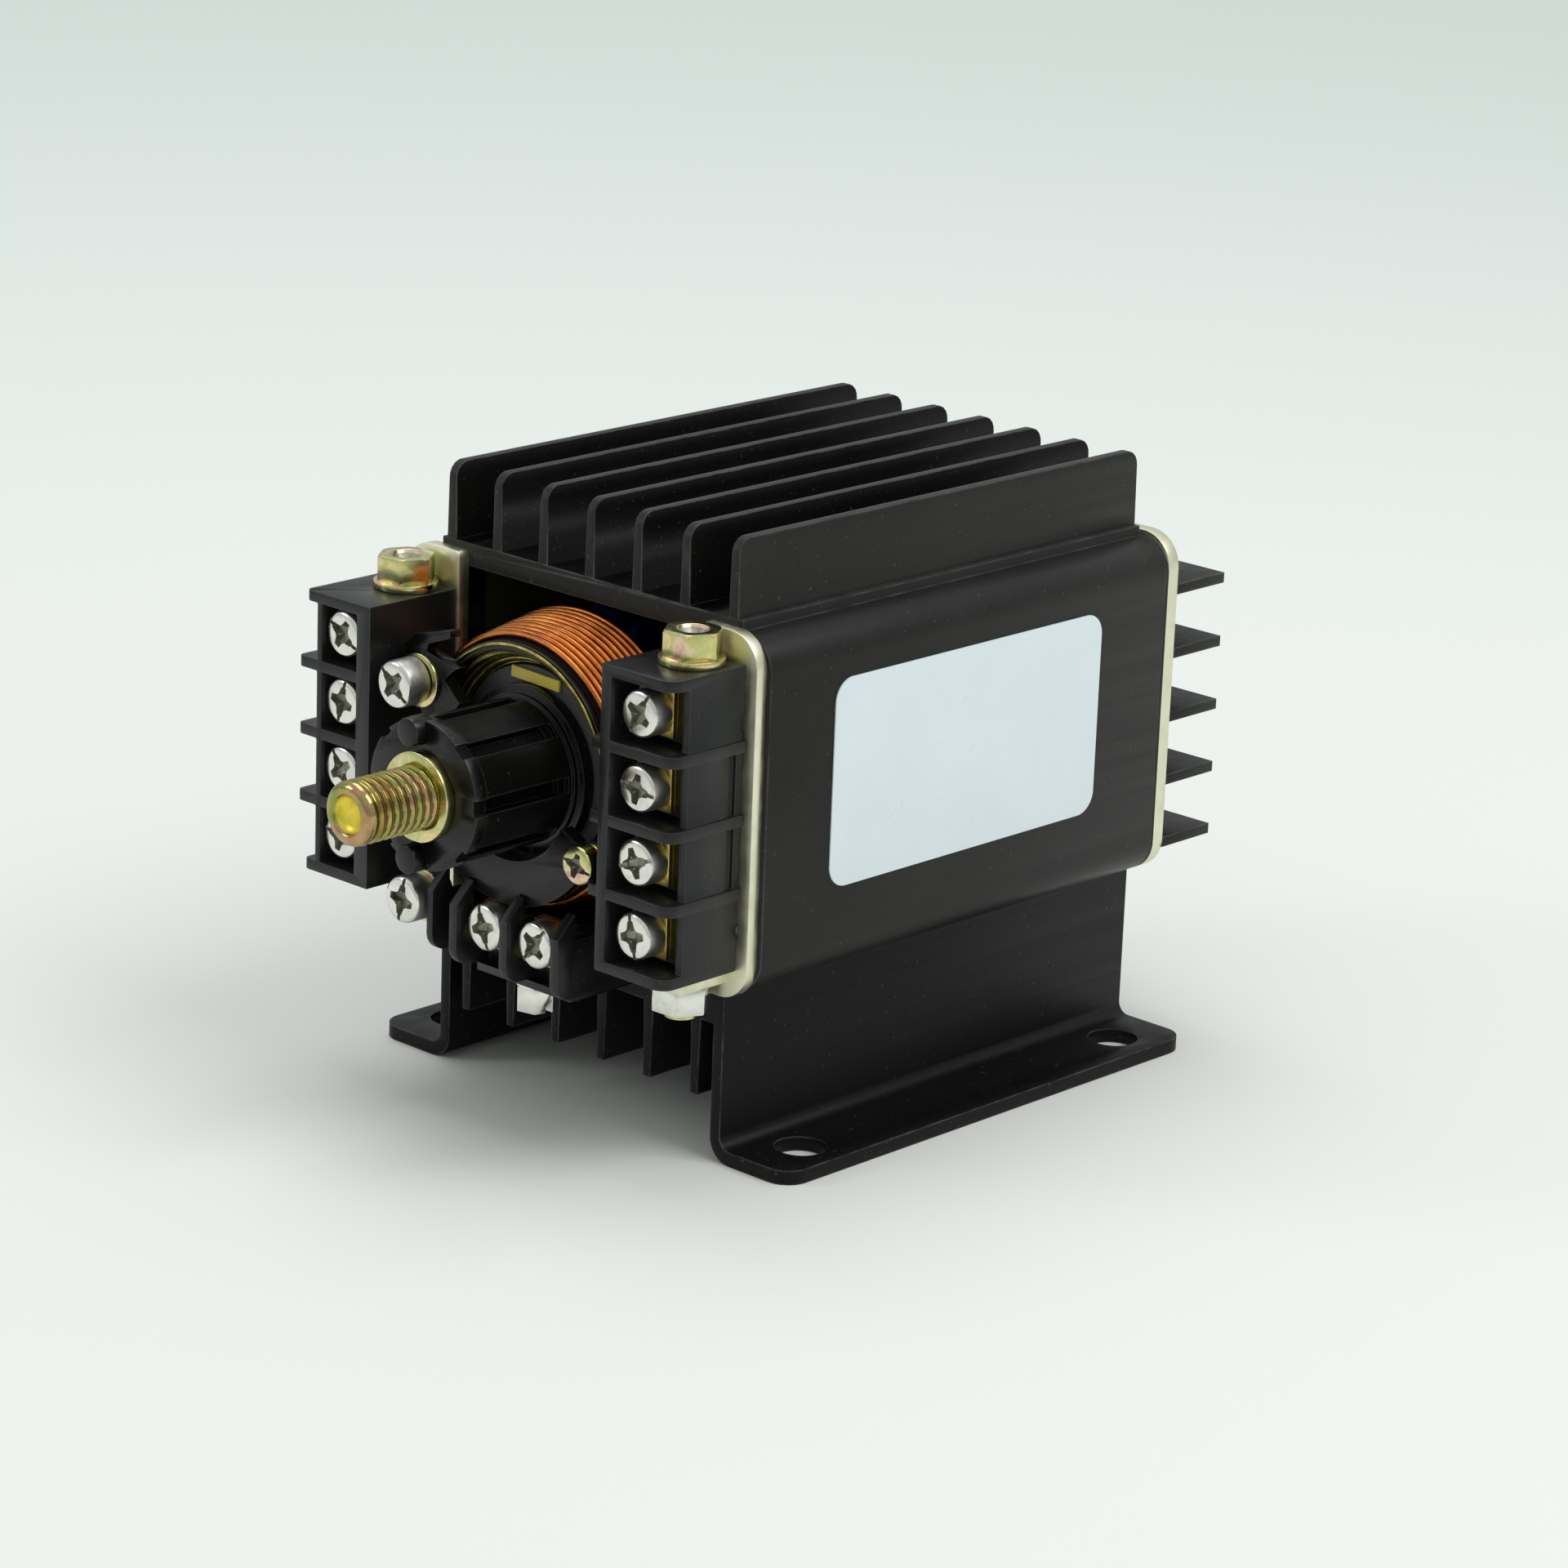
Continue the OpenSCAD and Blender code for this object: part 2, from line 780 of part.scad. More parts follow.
module block_body(w, d, z0, pitch, inner_wall, outer_wall, outer_inset, outer_setback, recess,
        tip_in, tip_out, end_trim, corner_r, bolt_u) {
    floor_d = d - recess - head_h - clamp_t - bar_t;
    wall_u = w - outer_inset - outer_wall;
    block_h = pole_count * pitch + barrier_t;
    difference() {
        union() {
            translate([0, -floor_d, z0]) cube([w - outer_inset, floor_d, block_h]);
            translate([0, -d, z0]) cube([inner_wall, d, block_h]);
            translate([wall_u, -d + outer_setback, z0])
                cube([outer_wall, d - outer_setback, block_h]);
            for (i = [0 : pole_count])
                translate([0, 0, z0 + i * pitch])
                    linear_extrude(barrier_t)
                        barrier_plan(w, d, i % pole_count == 0 ? 0 : tip_in, right_tip_d,
                            i % pole_count == 0 ? -end_trim : tip_out, corner_r);
        }
        translate([bolt_u, -bolt_depth, z0 - cut])
            cylinder(r = m5_hole_r, h = block_h + 2 * cut);
        for (i = [1 : pole_count - 2])
            translate([w - outer_inset - slot_depth, -2 * slot_w, z0 + i * pitch + barrier_t])
                cube([slot_depth + cut, slot_w, pitch - barrier_t]);
    }
}

module on_right_block() {
    at_front() translate([right_block_x, -plate_t, 0]) children();
}

module on_left_block() {
    at_front() translate([-left_block_x, -plate_t, 0]) mirror([1, 0, 0]) children();
}

module right_terminal_block() {
    color(black_plastic) on_right_block()
        block_body(right_block_w, right_block_d, right_z0, right_pitch, right_inner_wall,
            right_outer_wall, right_outer_inset, right_outer_setback, right_recess,
            right_tip, 0, right_outer_inset, right_corner_r, right_bolt_u);
}

module left_terminal_block() {
    color(black_plastic) on_left_block() difference() {
        block_body(left_block_w, left_block_d, left_z0, left_pitch, left_inner_wall,
            left_outer_wall, left_outer_inset, 0, left_recess, 0, left_tip, 0,
            left_corner_r, left_bolt_u);
        translate([left_bolt_u - lug_w / 2 - lug_gap, -bolt_depth - lug_end - lug_gap, left_z0 - cut])
            cube([lug_w + 2 * lug_gap, bolt_depth + lug_end + lug_gap + cut, lug_t + lug_gap + cut]);
    }
}

// Puts its children at the clamped face of each side terminal, clamp to the rear
module at_poles() {
    for (i = [0 : pole_count - 1]) {
        on_right_block()
            translate([right_screw_u, -right_block_d + right_recess + head_h,
                right_z0 + barrier_t / 2 + (i + 0.5) * right_pitch]) children();
        on_left_block()
            translate([left_screw_u, -left_block_d + left_recess + head_h,
                left_z0 + barrier_t / 2 + (i + 0.5) * left_pitch + left_screw_rise]) children();
    }
}

module at_output_poles() {
    for (s = [-1, 1])
        at_front() translate([output_x + s * output_pitch / 2,
            -output_back - output_d + right_recess + head_h, output_z0 + output_h / 2]) children();
}

module clamp_plate() {
    difference() {
        translate([-clamp_w / 2, 0, -clamp_w / 2]) cube([clamp_w, clamp_t, clamp_w]);
        rod_y(m35_r + fit_gap, -cut, clamp_t + cut);
    }
}

module terminal_bar() {
    difference() {
        translate([-clamp_w / 2, clamp_t, -clamp_w / 2]) cube([clamp_w, bar_t, clamp_w]);
        rod_y(m35_r + fit_gap / 2, clamp_t - cut, clamp_t + bar_t + cut);
    }
}

module terminal_screw() {
    screw_y(head_d / 2, head_h, m35_r, -head_h, clamp_t + bar_t - fit_gap);
}

module terminal_bars() {
    color(brass) at_poles() terminal_bar();
}

module terminal_clamps() {
    color(brass) at_poles() clamp_plate();
}

module terminal_screws() {
    color(bright_steel) at_poles() terminal_screw();
}

module at_right_bolt() {
    on_right_block() translate([right_bolt_u, -bolt_depth, 0]) children();
}

module at_left_bolt() {
    on_left_block() translate([left_bolt_u, -bolt_depth, 0]) children();
}

module hex_bolt(low_z, seat_z, turn) {
    difference() {
        union() {
            translate([0, 0, low_z]) cylinder(r = m5_r, h = seat_z - low_z);
            translate([0, 0, seat_z]) intersection() {
                hex(m5_af, m5_head_h, turn);
                cylinder(r1 = m5_af, r2 = m5_af * 0.53, h = m5_head_h);
            }
        }
        translate([0, 0, seat_z + m5_head_h - m5_head_h / 3])
            cylinder(r1 = m5_af / 5, r2 = m5_af / 3, h = m5_head_h / 3 + fit_gap);
    }
}

module block_bolts() {
    color(yellow_zinc) {
        at_right_bolt() hex_bolt(right_z0 - lug_t - m5_nut_h - m5_end,
            right_z1 + washer_t, right_bolt_turn);
        at_left_bolt() hex_bolt(left_z0, left_z1 + washer_t, left_bolt_turn);
    }
}

module block_washer() {
    difference() {
        cylinder(r = washer_r, h = washer_t);
        translate([0, 0, -cut]) cylinder(r = m5_hole_r, h = washer_t + 2 * cut);
    }
}

module block_washers() {
    color(yellow_zinc) {
        at_right_bolt() translate([0, 0, right_z1]) block_washer();
        at_left_bolt() translate([0, 0, left_z1]) block_washer();
    }
}

module block_nuts() {
    color(bright_steel) at_right_bolt()
        translate([0, 0, right_z0 - lug_t - m5_nut_h]) difference() {
            hex(m5_af, m5_nut_h, right_bolt_turn);
            translate([0, 0, -cut]) cylinder(r = m5_r + fit_gap / 2, h = m5_nut_h + 2 * cut);
        }
}

// Fluted stud holder: disc, ribs between the flutes, stepped flange and spigot
module stud_holder() {
    disc_y = -holder_reach;
    flute_end = flange_y - flute_land;
    color(black_plastic) on_axis() difference() {
        union() {
            rod_y(disc_r, disc_y, disc_y + disc_t);
            rod_y(flute_r, disc_y, flange_y + flange_t);
            rod_y(flange_r - flange_lip_r, flange_y - flange_lip_t, flange_y);
            rod_y(flange_r, flange_y, flange_y + flange_t);
            rod_y(spigot_r, flange_y, carrier_y);
        }
        for (i = [0 : flute_count - 1])
            rotate([0, -(flute_phase + i * 360 / flute_count), 0]) {
                translate([flute_r - flute_depth, disc_y + disc_t, -flute_w / 2])
                    cube([flute_depth + cut, flute_end - disc_y - disc_t, flute_w]);
                translate([flute_r - flute_depth / 2, flute_end - cut, -flute_w / 2])
                    cube([flute_depth, flute_land / 2 + cut, flute_w]);
            }
        for (i = notch_places)
            rotate([0, -(flute_phase + i * 360 / flute_count), 0])
                translate([disc_r - notch_depth, disc_y - cut, -flute_w / 2])
                    cube([flute_depth, disc_t + 2 * cut, flute_w]);
        for (a = [-1, 1])
            rotate([0, -a * pin_angle, 0]) translate([pin_at_r, 0, 0])
                rod_y(pin_r + fit_gap, disc_y - cut, disc_y + pin_seat);
        rod_y(shank_r + stud_gap, disc_y - cut, carrier_y + cut);
    }
}

module holder_pins() {
    color(black_plastic) on_axis() for (a = [-1, 1])
        rotate([0, -a * pin_angle, 0]) translate([pin_at_r, 0, 0])
            rod_y(pin_r, -holder_reach - pin_reach, -holder_reach + pin_seat - fit_gap);
}

module stud() {
    end_y = carrier_y + carrier_t + nut_h + stud_end;
    color(yellow_zinc) on_axis() difference() {
        union() {
            cone_y(stud_r - stud_chamfer, stud_r, -stud_reach, -stud_reach + stud_chamfer);
            rod_y(stud_r, -stud_reach + stud_chamfer, -holder_reach - collar_t);
            rod_y(shank_r, -stud_reach + stud_chamfer, end_y - stud_chamfer);
            cone_y(shank_r, shank_r - stud_chamfer, end_y - stud_chamfer, end_y);
        }
        cone_y(dimple_r, dimple_r * 0.8, -stud_reach - fit_gap, -stud_reach + dimple_depth);
    }
}

module stud_collar() {
    color(yellow_zinc) on_axis()
        tube_y(collar_r, shank_r + stud_gap, -holder_reach - collar_t, -holder_reach);
}

module stud_nut() {
    color(bright_steel) on_axis() translate([0, carrier_y + carrier_t, 0]) difference() {
        rotate([-90, 0, 0]) hex(nut_af, nut_h);
        rod_y(shank_r + stud_gap, -cut, nut_h + cut);
    }
}

module carrier_bracket() {
    drop = axis_z - room_z0;
    color(black_metal) at_front() difference() {
        union() {
            translate([axis_x, 0, axis_z]) rod_y(carrier_r, carrier_y, carrier_y + carrier_t);
            translate([axis_x - carrier_r, carrier_y, room_z0])
                cube([2 * carrier_r, carrier_t, drop]);
            translate([axis_x - carrier_r, carrier_y, room_z0])
                cube([2 * carrier_r, carrier_foot, carrier_t]);
        }
        translate([axis_x, 0, axis_z])
            rod_y(shank_r + fit_gap, carrier_y - cut, carrier_y + carrier_t + cut);
        floor_holes(room_z0 - cut, room_z0 + carrier_t + cut);
    }
}

module floor_screw(r, head_r, head_h, seat_z) {
    translate([0, 0, base_plate_z + cut]) cylinder(r = r, h = seat_z - base_plate_z - cut);
    translate([0, 0, seat_z]) difference() {
        cylinder(r = head_r, h = head_h);
        translate([-head_r, -cross_w / 2, head_h - cross_depth])
            cube([2 * head_r, cross_w, cross_depth + cut]);
    }
}

module carrier_screws() {
    color(bright_steel) at_front() for (x = [-1, 1])
        translate([axis_x + x * carrier_screw_dx / 2, carrier_screw_y, 0])
            floor_screw(m4_r, m4_head_r, m4_head_h, room_z0 + carrier_t);
}

// Windings and bobbin, turned about the stud's axis
module turned_y() {
    on_axis() rotate([-90, 0, 0]) rotate_extrude() children();
}

module coil_core() {
    color(black_metal) on_axis() tube_y(core_r, spigot_r + fit_gap, core_y, bobbin_rear_y);
}

module inner_winding() {
    outer = bobbin_r - fit_gap;
    inner = core_r + fit_gap;
    color(olive) turned_y() {
        for (k = [0 : inner_turns - 1]) {
            r = outer - inner_wire_d / 2 - k * inner_step;
            y = inner_front_y + k * inner_pitch;
            translate([r, y]) circle(d = inner_wire_d);
            translate([r, y]) square([outer - r, bobbin_rear_y - y]);
        }
        translate([inner, inner_front_y + inner_turns * inner_pitch])
            square([outer - inner, bobbin_rear_y - inner_front_y - inner_turns * inner_pitch]);
    }
}

module winding_tape() {
    color(tape_yellow) on_axis() translate([tape_dx, core_y - fit_gap - tape_t, tape_dz])
        rotate([0, tape_angle, 0]) translate([-tape_l / 2, 0, -tape_w / 2]) cube([tape_l, tape_t, tape_w]);
}

module coil_bobbin() {
    color(black_plastic) {
        turned_y() {
            translate([bobbin_r, coil_y - bobbin_lip_t - fit_gap])
                square([bobbin_wall, bobbin_rear_y + bobbin_rear_t - coil_y + bobbin_lip_t + fit_gap]);
            translate([bobbin_r, coil_y - bobbin_lip_t - fit_gap])
                square([bobbin_lip_r - bobbin_r, bobbin_lip_t]);
            translate([bobbin_r, bobbin_rear_y])
                square([coil_r + coil_flare - bobbin_r, bobbin_rear_t]);
        }
        at_front() difference() {
            translate([0, ear_y, 0]) extrude_y(ear_t) ear_outlines();
            ear_places() rod_y(ear_bore_r, ear_y - cut, ear_y + ear_t + cut);
        }
    }
}

module ear_outlines() {
    low = [ear_low_x, axis_z + ear_low_dz];
    side = [ear_side_x, axis_z + ear_side_dz];
    translate([ear_top_x, axis_z + ear_top_dz]) polygon(ear_size * ear_shares);
    translate(low) circle(ear_low_r);
    translate([ear_low_x - arm_w / 2, axis_z + ear_low_dz]) square([arm_w, -ear_low_dz - arm_end_dz]);
    translate(side) circle(ear_side_r);
    translate([axis_x, axis_z]) difference() {
        circle(ear_ring_r);
        circle(ear_ring_bore_r);
        polygon([[0, 0], for (a = ear_gap_angles) coil_d * [cos(a), sin(a)]]);
    }
}

module ear_places() {
    translate([ear_top_x, 0, axis_z + ear_top_dz]) children();
    translate([ear_low_x, 0, axis_z + ear_low_dz]) children();
    translate([ear_side_x, 0, axis_z + ear_side_dz]) children();
}

module outer_winding() {
    color(copper) turned_y() {
        for (k = [0 : turn_count - 1]) {
            r = coil_r - wire_d / 2 + k * coil_flare / (turn_count - 1);
            y = coil_y + (k + 0.5) * wire_pitch;
            translate([r, y]) circle(d = wire_d);
            translate([bobbin_r + bobbin_wall + fit_gap, y - wire_pitch / 2])
                square([r - bobbin_r - bobbin_wall - fit_gap, wire_pitch]);
        }
    }
}

module bobbin_screws() {
    color(bright_steel) at_front() {
        for (p = [[ear_top_x, ear_top_dz], [ear_low_x, ear_low_dz]])
            translate([p[0], 0, axis_z + p[1]])
                screw_y(ear_head_r, ear_head_h, m3_r, ear_y - ear_washer_t - ear_head_h,
                    ear_washer_t + ear_t - fit_gap);
        translate([ear_side_x, 0, axis_z + ear_side_dz])
            screw_y(side_head_r, side_head_h, m3_r, ear_y - ear_washer_t - side_head_h,
                ear_washer_t + ear_t - fit_gap);
    }
}

module bobbin_washers() {
    color(yellow_zinc) at_front() {
        for (p = [[ear_top_x, ear_top_dz], [ear_low_x, ear_low_dz]])
            translate([p[0], 0, axis_z + p[1]])
                tube_y(ear_washer_r, ear_bore_r, ear_y - ear_washer_t, ear_y);
        translate([ear_side_x, 0, axis_z + ear_side_dz])
            tube_y(side_washer_r, ear_bore_r, ear_y - ear_washer_t, ear_y);
    }
}

// Output block under the stud holder, on its bracket
module output_barrier_profile() {
    d = output_d;
    difference() {
        translate([-d - output_back, 0]) square([d, output_h]);
        translate([-d - output_back, output_h]) rotate(45)
            square(output_chamfer * sqrt(2), center = true);
        translate([-output_low_d - output_back, output_body_h]) square([output_low_d + cut, output_h]);
        translate([-d - output_back, 0]) difference() {
            translate([-cut, -cut]) square(output_round + cut);
            translate([output_round, output_round]) circle(output_round);
        }
    }
}

module output_block() {
    floor_d = output_d - right_recess - head_h - clamp_t - bar_t;
    span = 2 * output_pitch + output_wall;
    end_x = output_x - end_wall_share * output_pitch;
    color(black_plastic) at_front() difference() {
        union() {
            translate([output_x - span / 2, -output_back - floor_d, output_z0])
                cube([span, floor_d, output_body_h]);
            for (i = [-1 : 1])
                translate([output_x + i * output_pitch - output_wall / 2, 0, output_z0])
                    extrude_x(output_wall) output_barrier_profile();
            translate([end_x - end_wall_t / 2, 0, output_z0 + end_wall_rise])
                extrude_x(end_wall_t) output_barrier_profile();
            translate([end_x, -output_back - end_slab_d, output_z0 + end_wall_rise])
                cube([output_x - end_x, end_slab_d, output_body_h - 2 * end_wall_rise]);
        }
        translate([hex_x, hex_y, output_z0 - cut])
            cylinder(r = m3_r + fit_gap / 2, h = hex_reach + cut);
    }
}

module output_bars() {
    color(brass) at_output_poles() terminal_bar();
}

module output_clamps() {
    color(brass) at_output_poles() clamp_plate();
}

module output_screws() {
    color(bright_steel) at_output_poles() terminal_screw();
}

module output_bracket() {
    span = 2 * output_pitch - 2 * bracket_margin;
    z0 = output_z0 - bracket_t;
    color(black_metal) at_front() difference() {
        union() {
            translate([output_x - span / 2, -output_back - output_d / 1.4, z0])
                cube([span, output_d / 1.4 + base_y, bracket_t]);
            translate([output_x - span / 2, -output_back, z0])
                cube([span, bracket_back_t, bracket_h]);
        }
        for (x = [-1, 1])
            translate([output_x + x * bracket_screw_dx / 2, -output_back, z0 + bracket_screw_z])
                csk_y(m3_r + fit_gap, m3_csk_r, 0, m3_csk_h, bracket_back_t + cut);
        translate([hex_x, hex_y, z0 - cut])
            cylinder(r = m3_r + fit_gap, h = bracket_t + 2 * cut);
    }
}

module output_bracket_screws() {
    color(bright_steel) at_front() for (x = [-1, 1])
        translate([output_x + x * bracket_screw_dx / 2, -output_back,
            output_z0 - bracket_t + bracket_screw_z])
            csk_y(m3_r, m3_csk_r - fit_gap, 0, m3_csk_h, base_plate_t);
}

module output_hex_screw() {
    top = output_z0 - bracket_t - hex_washer_t;
    color(bright_steel) at_front() translate([hex_x, hex_y, top - hex_head_h]) difference() {
        union() {
            hex(hex_af, hex_head_h);
            cylinder(r = m3_r, h = hex_head_h + hex_washer_t + bracket_t + hex_reach - fit_gap);
        }
        translate([-hex_af, -cross_w / 2, -cut]) cube([2 * hex_af, cross_w, cut + cross_depth]);
    }
}

module output_washer() {
    color(bright_steel) at_front()
        translate([hex_x, hex_y, output_z0 - bracket_t - hex_washer_t]) difference() {
            cylinder(r = hex_washer_r, h = hex_washer_t);
            translate([0, 0, -cut]) cylinder(r = m3_r + fit_gap, h = hex_washer_t + 2 * cut);
        }
}

module label_plate() {
    color(label_white) at_front() translate([case_w / 2, label_y, label_z])
        extrude_x(label_t) round_rect(label_len, label_h, label_r);
}

// Control board on the left wall with its parts
module board_holes() {
    for (y = [board_hole_in, board_len - board_hole_in], z = [-board_hole_dz, board_hole_dz])
        translate([0, board_y + y, channel_z + z]) rotate([0, 90, 0]) children();
}

module control_board() {
    color(board_green) at_front() difference() {
        translate([board_x, board_y, board_z]) cube([board_t, board_len, board_h]);
        board_holes() translate([0, 0, board_x - cut])
            cylinder(r = m25_r + fit_gap, h = board_t + 2 * cut);
    }
}

module board_standoffs() {
    color(brass) at_front() board_holes() translate([0, 0, -room_w / 2]) difference() {
        cylinder(r = standoff_r, h = board_x + room_w / 2);
        translate([0, 0, board_t]) cylinder(r = m25_r + fit_gap / 2, h = board_x + room_w / 2);
    }
}

module board_screws() {
    color(bright_steel) at_front() board_holes() {
        translate([0, 0, board_x + board_t]) cylinder(r = board_head_r, h = board_head_h);
        translate([0, 0, board_x - board_t]) cylinder(r = m25_r, h = 2 * board_t + cut / 2);
    }
}

module board_capacitors() {
    color("midnightblue") at_front() for (i = [0 : 1])
        translate([board_x + board_t, board_y + board_len / 2 + i * capacitor_step, board_z + board_h / 2])
            rotate([0, 90, 0]) {
                cylinder(r = capacitor_r, h = capacitor_h - cut);
                translate([0, 0, capacitor_h - cut]) cylinder(r = capacitor_r - cut / 2, h = cut);
            }
}

module board_trimmers() {
    color("royalblue") at_front() for (i = [0 : 1])
        translate([board_x + board_t, board_y + trimmer_w + i * (trimmer_w + 2 * board_t),
            board_z + board_h - 2 * trimmer_w]) {
            cube([trimmer_h, trimmer_w, trimmer_w]);
            translate([trimmer_h, trimmer_w / 2, trimmer_w / 2]) rotate([0, 90, 0])
                cylinder(r = trimmer_w / 5, h = board_t);
        }
}

module board_chips() {
    color(black_plastic) at_front() for (i = [0 : 2])
        translate([board_x + board_t, board_y + chip_in + i * chip_step, board_z + chip_rise])
            cube([chip_h, chip_l, chip_w]);
}

// Power module bolted to the case floor, over the base plate
module power_module() {
    color(black_plastic) at_front() difference() {
        union() {
            translate([module_x - module_w / 2, module_y - module_l / 2, room_z0])
                cube([module_w, module_l, module_h]);
            translate([module_x - module_w / 2 - module_ear, module_y - module_ear, room_z0])
                cube([module_w + 2 * module_ear, 2 * module_ear, module_ear_t]);
            for (i = [-1 : 1])
                translate([module_x + i * module_w / 3 - tab_w / 2, module_y, room_z0 + module_h])
                    cube([tab_w, tab_t, tab_h]);
        }
        floor_holes(room_z0 - cut, room_z0 + module_ear_t + cut);
    }
}

module module_screws() {
    color(bright_steel) at_front() for (x = [-1, 1])
        translate([module_x + x * (module_w + module_ear) / 2, module_y, 0])
            floor_screw(m3_r, m3_head_r, m3_head_h, room_z0 + module_ear_t);
}

// Sensing transformer: stacked core with two windows, winding on its middle limb
module sensing_transformer() {
    color(black_metal) at_front() difference() {
        union() {
            translate([core_x - core_w / 2, core_cy - core_l / 2, room_z0]) cube([core_w, core_l, core_h]);
            translate([core_x - core_w / 2 - foot_ear, core_cy - core_l / 2, room_z0])
                cube([core_w + 2 * foot_ear, core_l, foot_ear_t]);
        }
        for (x = [-1, 1])
            translate([core_x + x * (limb_w + window_w) / 2 - window_w / 2, core_cy - core_l, room_z0 + window_w])
                cube([window_w, 2 * core_l, core_h - 2 * window_w]);
        floor_holes(room_z0 - cut, room_z0 + foot_ear_t + cut);
    }
}

module transformer_winding() {
    color(copper) at_front() translate([core_x, core_cy, room_z0 + window_w + fit_gap]) difference() {
        translate([0, 0, 0]) linear_extrude(core_h - 2 * window_w - 2 * fit_gap)
            round_rect(limb_w + 2 * window_w - 2 * fit_gap, winding_l, window_w / 2);
        translate([-limb_w / 2 - fit_gap, -core_l / 2 - fit_gap, -cut])
            cube([limb_w + 2 * fit_gap, core_l + 2 * fit_gap, core_h]);
    }
}

module transformer_screws() {
    color(bright_steel) at_front() for (x = [-1, 1])
        translate([core_x + x * (core_w + foot_ear) / 2, core_cy, 0])
            floor_screw(m3_r, m3_head_r, m3_head_h, room_z0 + foot_ear_t);
}

case_shell();
base_heatsink();
base_screws();
rear_gasket();
rear_plate();
rear_cooler();
rear_plate_screws();
rear_cooler_screws();
left_front_plate();
right_front_plate();
front_plate_screws();
left_terminal_block();
right_terminal_block();
terminal_bars();
terminal_clamps();
terminal_screws();
block_bolts();
block_washers();
block_nuts();
stud_holder();
stud();
stud_collar();
stud_nut();
holder_pins();
carrier_bracket();
carrier_screws();
coil_core();
inner_winding();
winding_tape();
coil_bobbin();
outer_winding();
bobbin_screws();
bobbin_washers();
output_block();
output_bars();
output_clamps();
output_screws();
output_bracket();
output_bracket_screws();
output_hex_screw();
output_washer();
label_plate();
control_board();
board_standoffs();
board_screws();
board_capacitors();
board_trimmers();
board_chips();
power_module();
module_screws();
sensing_transformer();
transformer_winding();
transformer_screws();
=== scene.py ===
import json
import math

import bmesh
import bpy
from mathutils import Matrix, Vector


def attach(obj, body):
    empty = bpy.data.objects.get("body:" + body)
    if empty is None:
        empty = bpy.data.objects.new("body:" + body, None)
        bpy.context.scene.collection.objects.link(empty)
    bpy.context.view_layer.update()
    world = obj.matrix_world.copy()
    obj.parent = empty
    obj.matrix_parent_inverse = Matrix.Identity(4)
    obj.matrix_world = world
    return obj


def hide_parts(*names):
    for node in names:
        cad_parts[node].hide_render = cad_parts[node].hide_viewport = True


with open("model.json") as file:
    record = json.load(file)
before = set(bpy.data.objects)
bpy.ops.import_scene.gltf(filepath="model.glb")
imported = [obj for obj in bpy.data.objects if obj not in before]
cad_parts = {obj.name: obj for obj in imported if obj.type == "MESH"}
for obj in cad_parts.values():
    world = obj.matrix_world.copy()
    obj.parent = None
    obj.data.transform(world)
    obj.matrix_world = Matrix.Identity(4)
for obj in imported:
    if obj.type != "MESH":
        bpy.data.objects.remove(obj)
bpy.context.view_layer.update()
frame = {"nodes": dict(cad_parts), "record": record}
NODES = frame["nodes"]
SLOT_OF = {part["node"]: part["material_slot"] for part in frame["record"]["subparts"]}

# Lengths are in mm until MM turns them into metres.
MM = 0.001
FACE_Y = -47.1                  # the case's front face in the part's frame
AXIS_X, AXIS_Z = -2.5, 56.4     # the axis of the stud and the windings, along Y
FIN_HEIGHT, FIN_CHAMFER = 12.1, 2.4
MERGE = 2e-6                    # vertices closer than this are one, in metres


